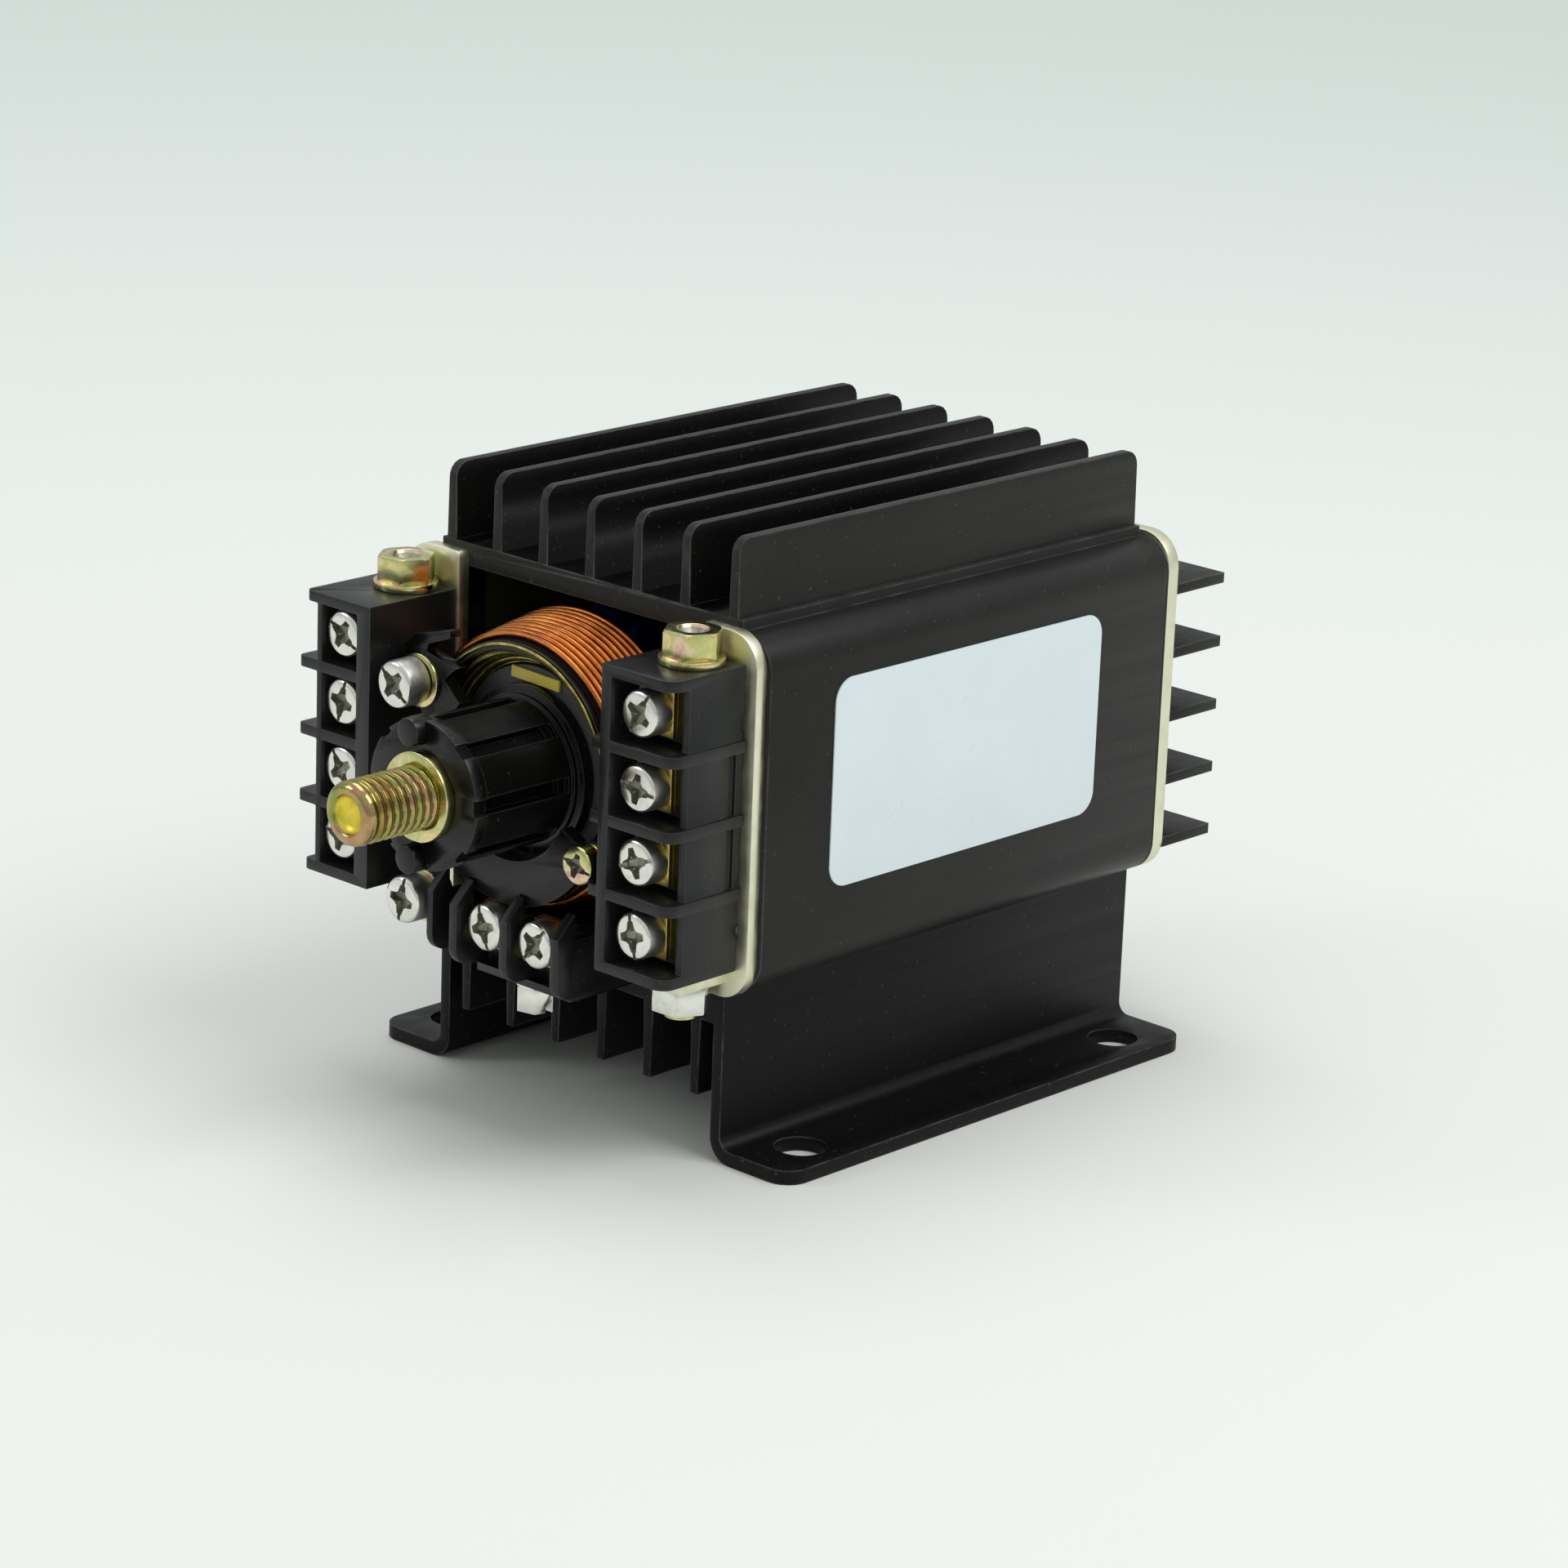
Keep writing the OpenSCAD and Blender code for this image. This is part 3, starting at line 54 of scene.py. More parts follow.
# ---------------------------------------------------------------- materials
class Shade:
    """A Principled material with a few helpers that add nodes to its tree."""

    def __init__(self, name, roughness, metallic=0.0, specular=0.5):
        self.material = bpy.data.materials.new(name)
        self.material.use_nodes = True
        self.tree = self.material.node_tree
        self.bsdf = self.tree.nodes["Principled BSDF"]
        self.bsdf.inputs["Roughness"].default_value = roughness
        self.bsdf.inputs["Metallic"].default_value = metallic
        self.bsdf.inputs["Specular IOR Level"].default_value = specular
        self.coord = self.tree.nodes.new("ShaderNodeTexCoord").outputs["Object"]
        self.height = None

    def link(self, a, b):
        self.tree.links.new(a, b)

    def noise(self, scale, detail=3.0, rough=0.55, distortion=0.0):
        """Noise in object space; scale is one number or one for each direction."""
        if not isinstance(scale, tuple):
            scale = (scale, scale, scale)
        mapping = self.tree.nodes.new("ShaderNodeMapping")
        mapping.inputs["Scale"].default_value = scale
        self.link(self.coord, mapping.inputs["Vector"])
        node = self.tree.nodes.new("ShaderNodeTexNoise")
        node.inputs["Scale"].default_value = 1.0
        node.inputs["Detail"].default_value = detail
        node.inputs["Roughness"].default_value = rough
        node.inputs["Distortion"].default_value = distortion
        self.link(mapping.outputs["Vector"], node.inputs["Vector"])
        return node.outputs["Fac"]

    def ramp(self, value, stops):
        """Stops are (place, colour), or (place, grey)."""
        node = self.tree.nodes.new("ShaderNodeValToRGB")
        elements = node.color_ramp.elements
        while len(elements) < len(stops):
            elements.new(0.5)
        for element, (place, colour) in zip(elements, stops):
            element.position = place
            if not isinstance(colour, (tuple, list)):
                colour = (colour, colour, colour)
            element.color = (*colour, 1.0)
        self.link(value, node.inputs["Fac"])
        return node.outputs["Color"]

    def span(self, value, source, target):
        """Maps the range source to the range target."""
        node = self.tree.nodes.new("ShaderNodeMapRange")
        for key, number in zip(("From Min", "From Max", "To Min", "To Max"), (*source, *target)):
            node.inputs[key].default_value = number
        self.link(value, node.inputs["Value"])
        return node.outputs["Result"]

    def mix(self, factor, a, b):
        """From socket a to colour b."""
        node = self.tree.nodes.new("ShaderNodeMix")
        node.data_type = "RGBA"
        socket = {s.name: s for s in node.inputs if s.enabled}
        self.link(factor, socket["Factor"])
        self.link(a, socket["A"])
        socket["B"].default_value = (*b, 1.0)
        return [s for s in node.outputs if s.enabled][0]

    def math(self, kind, a, b):
        node = self.tree.nodes.new("ShaderNodeMath")
        node.operation = kind
        self.link(a, node.inputs[0])
        if hasattr(b, "links"):
            self.link(b, node.inputs[1])
        else:
            node.inputs[1].default_value = b
        return node.outputs[0]

    def colour(self, value):
        self.link(value, self.bsdf.inputs["Base Color"])

    def rough(self, value):
        self.link(value, self.bsdf.inputs["Roughness"])

    def edges(self, radius):
        """0 on flat faces, up to 1 on sharp edges."""
        bevel = self.tree.nodes.new("ShaderNodeBevel")
        bevel.samples = 4
        bevel.inputs["Radius"].default_value = radius
        geometry = self.tree.nodes.new("ShaderNodeNewGeometry")
        dot = self.tree.nodes.new("ShaderNodeVectorMath")
        dot.operation = "DOT_PRODUCT"
        self.link(bevel.outputs["Normal"], dot.inputs[0])
        self.link(geometry.outputs["Normal"], dot.inputs[1])
        return self.span(dot.outputs["Value"], (1.0, 0.78), (0.0, 1.0))

    def bump(self, value, strength, distance):
        node = self.tree.nodes.new("ShaderNodeBump")
        node.inputs["Strength"].default_value = strength
        node.inputs["Distance"].default_value = distance
        self.link(value, node.inputs["Height"])
        if self.height is not None:
            self.link(self.height, node.inputs["Normal"])
        self.height = node.outputs["Normal"]
        self.link(self.height, self.bsdf.inputs["Normal"])


MIDDLE = (0.3, 0.7)     # the range that holds most of a noise's values


def cloudy(s, cloud, base, dark, light):
    """The base colour, from its share dark to its share light along the cloud."""
    return s.ramp(cloud, [(MIDDLE[0], [c * dark for c in base]),
                          (MIDDLE[1], [min(1, c * light) for c in base])])


def anodised(name, base, specular):
    """Black extrusion: drawn lines along Y, dust, and bright edges that are partly rubbed
    through and partly painted highlight.
    """
    s = Shade(name, 0.4, specular=specular)
    edge_rub_and_highlight = s.edges(0.00045)
    cloud = s.noise(22, detail=4)
    tone = cloudy(s, cloud, base, 0.75, 1.35)
    specks = s.ramp(s.noise(1500, detail=1, rough=0.4), [(0.72, 0.0), (0.78, 1.0)])
    tone = s.mix(s.math("MULTIPLY", specks, 0.35), tone, (0.13, 0.13, 0.125))
    patches = s.span(s.noise(180, detail=4, rough=0.7), (0.35, 0.65), (0.1, 1.0))
    patchy_edge_rub_and_highlight = s.math("MULTIPLY", edge_rub_and_highlight, patches)
    # Lighter edges, in patches: partly rubbed through, partly painted highlight.
    tone = s.mix(s.math("MULTIPLY", patchy_edge_rub_and_highlight, 0.8), tone, (0.22, 0.22, 0.215))
    s.colour(tone)
    lines = s.noise((420, 9, 420), detail=3, rough=0.6)
    drawn = s.span(lines, MIDDLE, (0.36, 0.48))
    s.rough(s.math("ADD", drawn, s.span(cloud, MIDDLE, (-0.03, 0.05))))
    s.bump(lines, 0.1, 0.00004)
    s.bump(s.noise(2600, detail=2), 0.06, 0.00003)
    return s.material


def plastic(name, base, roughness, grain=1900, specular=0.35):
    """Moulded black plastic or rubber with a fine grain, dust and lighter edges, partly rubbed
    and partly painted highlight.
    """
    s = Shade(name, 0.38, specular=specular)
    edge_rub_and_highlight = s.edges(0.0003)
    cloud = s.noise(55, detail=4)
    tone = cloudy(s, cloud, base, 0.7, 1.4)
    dust = s.ramp(s.noise(1100, detail=2, rough=0.5), [(0.7, 0.0), (0.76, 1.0)])
    tone = s.mix(s.math("MULTIPLY", dust, 0.22), tone, (0.2, 0.2, 0.19))
    # Lighter edges: partly rubbed, partly painted highlight.
    tone = s.mix(s.math("MULTIPLY", edge_rub_and_highlight, 0.4), tone, (0.16, 0.165, 0.16))
    s.colour(tone)
    s.rough(s.span(s.noise(130, detail=4), MIDDLE, roughness))
    s.bump(s.noise(grain, detail=2), 0.12, 0.00004)
    s.bump(cloud, 0.05, 0.0002)
    return s.material


def plated(name, stops, roughness, film, grain=900, stain=(0.2, 0.18, 0.12), distortion=1.5):
    """Plated metal: stops are the tints of its film, film and grain are noise scales."""
    s = Shade(name, 0.3, metallic=1.0)
    edge_rub_and_highlight = s.edges(0.0003)
    tone = s.ramp(s.noise(film, detail=4, rough=0.6, distortion=distortion), stops)
    finer = 2.3
    fine = tuple(v * finer for v in film) if isinstance(film, tuple) else film * finer
    stained = s.ramp(s.noise(fine, detail=5, rough=0.65), [(0.56, 0.0), (0.72, 1.0)])
    tone = s.mix(s.math("MULTIPLY", stained, 0.3), tone, stain)
    # Brighter edges: partly rubbed, partly painted highlight.
    tone = s.mix(s.math("MULTIPLY", edge_rub_and_highlight, 0.5), tone, (0.86, 0.85, 0.8))
    s.colour(tone)
    s.rough(s.span(s.noise(260, detail=4), MIDDLE, roughness))
    s.bump(s.noise(grain, detail=3), 0.1, 0.00003)
    return s.material


def wire(name, stops, scale):
    """Enamelled wire: tinted metal under a thin clear coat."""
    s = Shade(name, 0.27, metallic=1.0)
    s.colour(s.ramp(s.noise(scale, detail=4, rough=0.6), stops))
    s.rough(s.span(s.noise(300, detail=3), MIDDLE, (0.2, 0.36)))
    s.bsdf.inputs["Coat Weight"].default_value = 0.3
    s.bsdf.inputs["Coat Roughness"].default_value = 0.12
    s.bump(s.noise(1400, detail=2), 0.1, 0.00003)
    return s.material


def lacquered(name, base, roughness, spread=0.12):
    """A satin coat whose colour varies by the share spread."""
    s = Shade(name, 0.35)
    s.colour(cloudy(s, s.noise(45, detail=4), base, 1 - spread, 1 + spread))
    s.rough(s.span(s.noise(160, detail=4), MIDDLE, roughness))
    s.bump(s.noise(1500, detail=2), 0.08, 0.00004)
    return s.material


CASE = anodised("case_black", (0.0165, 0.017, 0.0157), specular=0.2)
# Painted shade for the faces between the top fins.
FIN_SHADE = anodised("fin_painted_shade", (0.005, 0.005, 0.0047), specular=0.1)
SINK = anodised("sink_black", (0.0045, 0.0045, 0.0045), specular=0.16)
BLACK = plastic("black_plastic", (0.0034, 0.0036, 0.0035), (0.2, 0.34), specular=0.34)
# Painted shade for the stud holder's flutes.
HOLDER_SHADE = plastic("holder_flute_shade", (0.0012, 0.0012, 0.0012), (0.5, 0.6), specular=0.1)
BLOCK = plastic("block_plastic", (0.0105, 0.0115, 0.0113), (0.26, 0.4), grain=2300)
GASKET = plastic("gasket_rubber", (0.012, 0.012, 0.012), (0.6, 0.75))
ZINC = plated(
    "zinc_plate",
    [(0.25, (0.66, 0.64, 0.46)), (0.5, (0.8, 0.79, 0.6)), (0.75, (0.86, 0.84, 0.66))],
    roughness=(0.3, 0.5), film=60, grain=1500, stain=(0.38, 0.34, 0.22))
YELLOW = plated(
    "yellow_zinc",
    [(0.28, (0.52, 0.38, 0.12)), (0.4, (0.8, 0.66, 0.33)), (0.5, (0.5, 0.54, 0.2)),
     (0.6, (0.8, 0.62, 0.42)), (0.72, (0.56, 0.32, 0.22))],
    roughness=(0.16, 0.3), film=95, grain=1100, stain=(0.2, 0.13, 0.05))
BRIGHT = plated(
    "bright_zinc",
    [(0.3, (0.66, 0.66, 0.62)), (0.55, (0.8, 0.8, 0.76)), (0.75, (0.74, 0.73, 0.62))],
    roughness=(0.14, 0.28), film=150, grain=1800, stain=(0.3, 0.29, 0.24))
BRASS = plated(
    "clamp_brass", [(0.3, (0.72, 0.5, 0.1)), (0.6, (0.9, 0.68, 0.18))],
    roughness=(0.24, 0.4), film=120, grain=1500, stain=(0.5, 0.34, 0.08))
HEAD_SIDE = plated(
    "screw_side", [(0.3, (0.42, 0.42, 0.4)), (0.6, (0.6, 0.59, 0.55))],
    roughness=(0.36, 0.55), film=300)
# Darker metal for the screw recesses and bolt sockets: painted shade.
HOLLOW_SHADE = plated(
    "screw_hollow_shade", [(0.3, (0.2, 0.2, 0.17)), (0.7, (0.48, 0.46, 0.38))],
    roughness=(0.4, 0.6), film=500, grain=1800, stain=(0.03, 0.03, 0.03))
STUD = plated(
    "stud_zinc",
    [(0.28, (0.26, 0.18, 0.035)), (0.4, (0.46, 0.35, 0.1)), (0.48, (0.26, 0.31, 0.07)),
     (0.56, (0.5, 0.33, 0.16)), (0.66, (0.36, 0.19, 0.11)), (0.76, (0.46, 0.37, 0.13))],
    roughness=(0.1, 0.2), film=(45, 120, 45), grain=(900, 2600, 900),
    stain=(0.08, 0.045, 0.02), distortion=1.2)
# Darker thread grooves: partly dirt, partly painted shade.
THREAD_DIRT_AND_SHADE = plated(
    "thread_dirt_and_shade", [(0.3, (0.05, 0.027, 0.01)), (0.6, (0.15, 0.09, 0.03))],
    roughness=(0.25, 0.4), film=(60, 150, 60), grain=(900, 2600, 900),
    stain=(0.05, 0.03, 0.015), distortion=1.2)
DIMPLE = plated(
    "stud_dimple",
    [(0.3, (0.6, 0.46, 0.03)), (0.55, (0.8, 0.66, 0.08)), (0.75, (0.6, 0.42, 0.1))],
    roughness=(0.25, 0.4), film=200, grain=1200, stain=(0.3, 0.2, 0.05))
# A dark brown sheet under the copper turns: painted shade in the gaps between them.
SHADOW = lacquered("winding_shade_sheet", (0.016, 0.005, 0.002), (0.5, 0.7))
COPPER = wire(
    "copper_wire",
    [(0.3, (0.3, 0.075, 0.01)), (0.5, (0.54, 0.165, 0.026)), (0.7, (0.76, 0.27, 0.05))], 160)
# A darker copy of the inner wire: painted shade.
OLIVE_SHADED = wire(
    "inner_wire_shaded",
    [(0.3, (0.012, 0.01, 0.003)), (0.55, (0.035, 0.03, 0.007)), (0.75, (0.12, 0.1, 0.02))], 260)
OLIVE = wire(
    "inner_wire",
    [(0.3, (0.07, 0.055, 0.01)), (0.48, (0.3, 0.25, 0.045)), (0.7, (0.62, 0.52, 0.13))], 260)
TAPE = lacquered("tape", (0.62, 0.5, 0.05), (0.25, 0.4))
BRACKET = lacquered("bracket_black", (0.006, 0.006, 0.006), (0.3, 0.45))
CORE = lacquered("core_steel", (0.05, 0.05, 0.05), (0.4, 0.55))
BOARD = lacquered("board", (0.05, 0.07, 0.015), (0.3, 0.45))
CAPACITOR = lacquered("capacitor", (0.012, 0.016, 0.07), (0.25, 0.4))
TRIMMER = lacquered("trimmer", (0.02, 0.07, 0.3), (0.3, 0.4))
LABEL = lacquered("label_white", (0.81, 0.91, 0.96), (0.26, 0.36), spread=0.03)

LOOK = {
    "case_black": CASE, "sink_black": SINK, "black_plastic": BLACK, "block_plastic": BLOCK,
    "gasket_rubber": GASKET, "zinc_plate": ZINC, "yellow_zinc": YELLOW, "bright_steel": BRIGHT,
    "clamp_brass": BRASS, "copper_wire": COPPER, "inner_wire": OLIVE, "tape": TAPE,
    "bracket_black": BRACKET, "core_steel": CORE, "board": BOARD, "capacitor": CAPACITOR,
    "trimmer": TRIMMER, "label_white": LABEL,
}


def set_material(obj, *materials):
    """Clears only a filled list, because clearing resets every polygon's slot."""
    if obj.data.materials:
        obj.data.materials.clear()
    for material in materials:
        obj.data.materials.append(material)


for node_name, node in NODES.items():
    set_material(node, LOOK[SLOT_OF[node_name]])
    for polygon in node.data.polygons:
        polygon.material_index = 0


# ---------------------------------------------------------------- mesh helpers
def smooth(obj, angle):
    """Smooth faces, with the edges sharper than angle kept sharp."""
    bm = bmesh.new()
    bm.from_mesh(obj.data)
    limit = math.radians(angle)
    for face in bm.faces:
        face.smooth = True
    for edge in bm.edges:
        edge.smooth = not (len(edge.link_faces) == 2 and edge.calc_face_angle(0) > limit)
    bm.to_mesh(obj.data)
    bm.free()


def add_piece(name, bm, materials, stands_for, smooth_angle=35):
    """Turns bm into a piece of the look that stands for the named CAD nodes."""
    mesh = bpy.data.meshes.new(name)
    bm.to_mesh(mesh)
    bm.free()
    obj = bpy.data.objects.new(name, mesh)
    bpy.context.scene.collection.objects.link(obj)
    set_material(obj, *materials)
    smooth(obj, smooth_angle)
    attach(obj, "root")
    if stands_for:
        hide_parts(*stands_for)
    return obj


def mesh_with_modifiers(obj):
    graph = bpy.context.evaluated_depsgraph_get()
    return bpy.data.meshes.new_from_object(obj.evaluated_get(graph))


def node_bmesh(node_name):
    bm = bmesh.new()
    bm.from_mesh(NODES[node_name].data)
    bmesh.ops.remove_doubles(bm, verts=bm.verts, dist=MERGE)
    return bm


def round_chamfers(bm):
    """Turns the straight chamfers at the fins' ends into round corners."""
    size, steps, close = FIN_CHAMFER * MM, 5, 0.1 * MM
    diagonals, centres = [], []
    for edge in bm.edges:
        a, b = sorted((vert.co for vert in edge.verts), key=lambda spot: spot.z)
        if (abs(b.z - a.z - size) < close and abs(abs(b.y - a.y) - size) < close
                and abs(b.x - a.x) < 2 * close):
            diagonals.append(edge)
            centres.append(Vector(((a.x + b.x) / 2, b.y, a.z)))
    made = bmesh.ops.subdivide_edges(bm, edges=diagonals, cuts=steps - 1)
    for vert in made["geom_inner"]:
        if isinstance(vert, bmesh.types.BMVert):
            centre = min(centres, key=lambda spot: (spot - vert.co).length)
            out = Vector((0, vert.co.y - centre.y, vert.co.z - centre.z))
            if out.length < 1.1 * size:
                out = out.normalized() * size
                vert.co.y, vert.co.z = centre.y + out.y, centre.z + out.z


def softened(node_name, width):
    """A copy of a CAD node with its sharp edges rounded by a real bevel."""
    flat_angle, sharp_angle, smooth_angle = 0.6, 40, 30
    bm = node_bmesh(node_name)
    bmesh.ops.dissolve_limit(bm, angle_limit=math.radians(flat_angle), verts=bm.verts,
                             edges=bm.edges)
    if node_name == "case_shell":
        round_chamfers(bm)
    obj = add_piece(node_name + "_look", bm, [LOOK[SLOT_OF[node_name]]], [node_name])
    bevel = obj.modifiers.new("edges", "BEVEL")
    bevel.width = width * MM
    bevel.segments = 2
    bevel.limit_method = "ANGLE"
    bevel.angle_limit = math.radians(sharp_angle)
    bevel.use_clamp_overlap = True
    bevel.miter_outer = "MITER_ARC"
    sharp_mesh, obj.data = obj.data, mesh_with_modifiers(obj)
    obj.modifiers.clear()
    bpy.data.meshes.remove(sharp_mesh)
    smooth(obj, smooth_angle)


def ring_grid(bm, rings):
    """Joins rings of points into a tube; a ring with one point closes it."""
    made = [[bm.verts.new(p) for p in ring] for ring in rings]
    for a, b in zip(made, made[1:]):
        n = max(len(a), len(b))
        for i in range(n):
            j = (i + 1) % n
            if len(a) == 1:
                bm.faces.new((a[0], b[j], b[i]))
            elif len(b) == 1:
                bm.faces.new((a[i], a[j], b[0]))
            else:
                bm.faces.new((a[i], a[j], b[j], b[i]))


def circle_y(radius, y, steps=48):
    """Points of a circle around the Y direction."""
    if radius <= 0:
        return [Vector((0, y, 0)) * MM]
    turns = [2 * math.pi * i / steps for i in range(steps)]
    return [Vector((radius * math.cos(turn), y, radius * math.sin(turn))) * MM for turn in turns]


def to_axis(bm):
    """Moves what was made around the origin to where the axis meets the case's face."""
    bmesh.ops.translate(bm, vec=Vector((AXIS_X * MM, FACE_Y * MM, AXIS_Z * MM)), verts=bm.verts)
    bmesh.ops.recalc_face_normals(bm, faces=bm.faces)


# ---------------------------------------------------------------- stud and windings
def threaded_stud():
    """The stud with a shallow helical thread, a rounded tip and a dimple in its end."""
    steps, slice_y = 96, 0.1
    pitch, crest, root, shank = 1.5, 4.97, 4.35, 4.66
    end, thread_end, rear, rear_chamfer = -46.2, -32.7, 15.7, 0.9
    # Radius and depth of the end face, from the dimple's middle out.
    end_face = [(0.0, 1.3), (1.3, 1.27), (2.1, 1.12), (2.6, 0.85), (2.9, 0.5), (3.05, 0.2),
                (3.2, 0.04), (3.5, 0.0), (3.95, 0.03), (4.25, 0.12), (4.5, 0.3)]
    dimple_r, dimple_depth = 2.95, 1.4
    in_dimple, in_thread_dirt_and_shade = 1, 2                         # material slots
    tip_r, tip_start, first_slice = 4.58, 0.4, 0.42     # where the tip rounds into the thread
    fade_start, fade_run = 0.6, 2.6                     # where the thread grows to its depth
    rings = [circle_y(radius, end + depth, steps) for radius, depth in end_face]
    y = end + first_slice
    while y < thread_end:
        fade = min(max((y - end - fade_start) / fade_run, 0.0), 1.0)
        ring = []
        for i in range(steps):
            phase = ((y - end) / pitch + i / steps) % 1.0
            rise = 0.5 + 0.5 * math.cos(2 * math.pi * phase)
            depth = (crest - root) * (1 - rise) * fade
            radius = min(crest - depth, tip_r + 0.5 * (y - end - tip_start) ** 0.6)
            angle = 2 * math.pi * i / steps
            ring.append(Vector((radius * math.cos(angle), y, radius * math.sin(angle))) * MM)
        rings.append(ring)
        y += slice_y
    behind = [(shank, thread_end + 0.3), (shank, rear - rear_chamfer),
              (shank - rear_chamfer, rear), (0, rear)]
    rings += [circle_y(radius, y, steps) for radius, y in behind]
    bm = bmesh.new()
    ring_grid(bm, rings)
    # Faces deep in the thread are darker: partly dirt, partly painted shade.
    groove_r = 0.5 * (crest + root) - 0.06
    for face in bm.faces:
        middle = face.calc_center_median() / MM
        radius = math.hypot(middle.x, middle.z)
        if middle.y < end + dimple_depth and radius < dimple_r:
            face.material_index = in_dimple
        elif end + 1.0 < middle.y < thread_end and radius < groove_r:
            face.material_index = in_thread_dirt_and_shade
    to_axis(bm)
    add_piece("stud_look", bm, [STUD, DIMPLE, THREAD_DIRT_AND_SHADE], ["stud"], smooth_angle=50)


def wander(seed, angle):
    """A smooth repeatable wave around a turn, about -1 to 1."""
    return (0.5 * math.sin(2 * angle + seed * 1.7) + 0.3 * math.sin(3 * angle + seed * 2.9)
            + 0.2 * math.sin(7 * angle + seed * 4.3))


def swept(bm, points, radius, sides, closed):
    """A round wire along the points."""
    count = len(points)
    turns = [2 * math.pi * k / sides for k in range(sides)]
    rings = []
    for i, point in enumerate(points):
        if closed:
            run = (points[(i + 1) % count] - points[i - 1]).normalized()
        else:
            run = (points[min(i + 1, count - 1)] - points[max(i - 1, 0)]).normalized()
        side = run.cross(Vector((0, 1, 0))).normalized()
        up = side.cross(run).normalized()
        spokes = [math.cos(turn) * side + math.sin(turn) * up for turn in turns]
        rings.append([bm.verts.new((point + radius * spoke) * MM) for spoke in spokes])
    for i in range(count if closed else count - 1):
        a, b = rings[i], rings[(i + 1) % count]
        for k in range(sides):
            m = (k + 1) % sides
            bm.faces.new((a[k], a[m], b[m], b[k]))
    if not closed:
        bm.faces.new(rings[0])
        bm.faces.new(reversed(rings[-1]))


def copper_winding():
    """Eleven turns of wire laid side by side on a flared former, a dark sheet of painted shade
    that shows in the gaps between the turns.
    """
    turns, pitch, wire_r = 11, 1.2675, 0.52
    front_y, front_r, flare = -11.1, 20.75, 1.95
    wobble_r, wobble_y = 0.05, 0.045
    steps, sides, start_angle = 84, 12, math.radians(150)
    bm = bmesh.new()
    points = []
    for i in range(turns * steps + 1):
        t = i / steps
        turn = int(min(t, turns - 1e-6))
        angle = start_angle - 2 * math.pi * t
        radius = front_r + flare * t / turns + wobble_r * wander(turn, angle)
        y = (front_y + pitch * (0.5 + (turns - 1) * t / turns)
             + wobble_y * wander(turn * 3 + 1, angle))
        points.append(Vector((radius * math.cos(angle), y, radius * math.sin(angle))))
    swept(bm, points, wire_r, sides, False)
    around = 96
    # The former is a dark sheet of painted shade under the turns.
    former = [(18.8, -10.7), (19.9, -10.6), (21.85, 2.3), (18.8, 2.5)]      # radius, y
    rings = [[bm.verts.new(p) for p in circle_y(radius, y, around)] for radius, y in former]
    for a, b in zip(rings, rings[1:] + rings[:1]):
        for k in range(around):
            m = (k + 1) % around
            bm.faces.new((a[k], a[m], b[m], b[k])).material_index = 1
    to_axis(bm)
    add_piece("outer_winding_look", bm, [COPPER, SHADOW], ["outer_winding"], smooth_angle=60)


def inner_strands():
    """Loose strands over the inner winding, one behind the other; most of them take a darker
    copy of the wire, which is painted shade.
    """
    count, bright = 10, (0, 1, 4, 7)
    wire_r, sides, steps = 0.27, 8, 110
    front_y, length, front_r, taper, wobble_r = -12.28, 4.9, 19.4, 3.3, 0.09
    bm = bmesh.new()
    for k in range(count):
        t = k / (count - 1)
        wobble_y = 0.05 + 0.12 * t
        points = []
        for i in range(steps):
            angle = 2 * math.pi * i / steps
            radius = front_r - taper * t + wobble_r * wander(k * 2 + 3, angle)
            y = front_y + length * t + wobble_y * wander(k * 5 + 1, angle)
            points.append(Vector((radius * math.cos(angle), y, radius * math.sin(angle))))
        before = len(bm.faces)
        swept(bm, points, wire_r, sides, True)
        bm.faces.ensure_lookup_table()
        for face in bm.faces[before:]:
            # Strands outside the lit few take the darker copy of the wire: painted shade.
            face.material_index = 0 if k in bright else 1
    to_axis(bm)
    add_piece("inner_strands", bm, [OLIVE, OLIVE_SHADED], [], 60)


# ---------------------------------------------------------------- screws
IN_METAL, IN_HOLLOW_SHADE, IN_YELLOW, ON_SIDE = range(4)      # material slots of a screw


def head_profile(r, h):
    """Radius and depth below the head's top, from the middle out."""
    return [(0.0, 0.0), (0.55 * r, 0.03), (0.84 * r, 0.1), (0.93 * r, 0.2), (0.98 * r, 0.38),
            (r, 0.62), (r, 0.95 * h), (0.97 * r, h)]


def recess_prism(bm, turn, sections):
    """A closed cutter that narrows downwards.

    Sections are (distance, half width, depth) along one direction from the middle.
    """
    above, narrower, shorter = -0.3, 0.62, 0.86
    spin = Matrix.Rotation(turn, 3, "Y")
    top, bottom = [], []
    for side in (1, -1):
        for run, half, depth in (sections if side == 1 else sections[::-1]):
            top.append(bm.verts.new(spin @ Vector((run, above, side * half)) * MM))
            bottom.append(bm.verts.new(
                spin @ Vector((run * shorter, depth, side * half * narrower)) * MM))
    bm.faces.new(top)
    bm.faces.new(reversed(bottom))
    for i in range(len(top)):
        j = (i + 1) % len(top)
        bm.faces.new((top[i], bottom[i], bottom[j], top[j]))


def scene_object(name, bm):
    bmesh.ops.recalc_face_normals(bm, faces=bm.faces)
    mesh = bpy.data.meshes.new(name)
    bm.to_mesh(mesh)
    bm.free()
    obj = bpy.data.objects.new(name, mesh)
    bpy.context.scene.collection.objects.link(obj)
    return obj


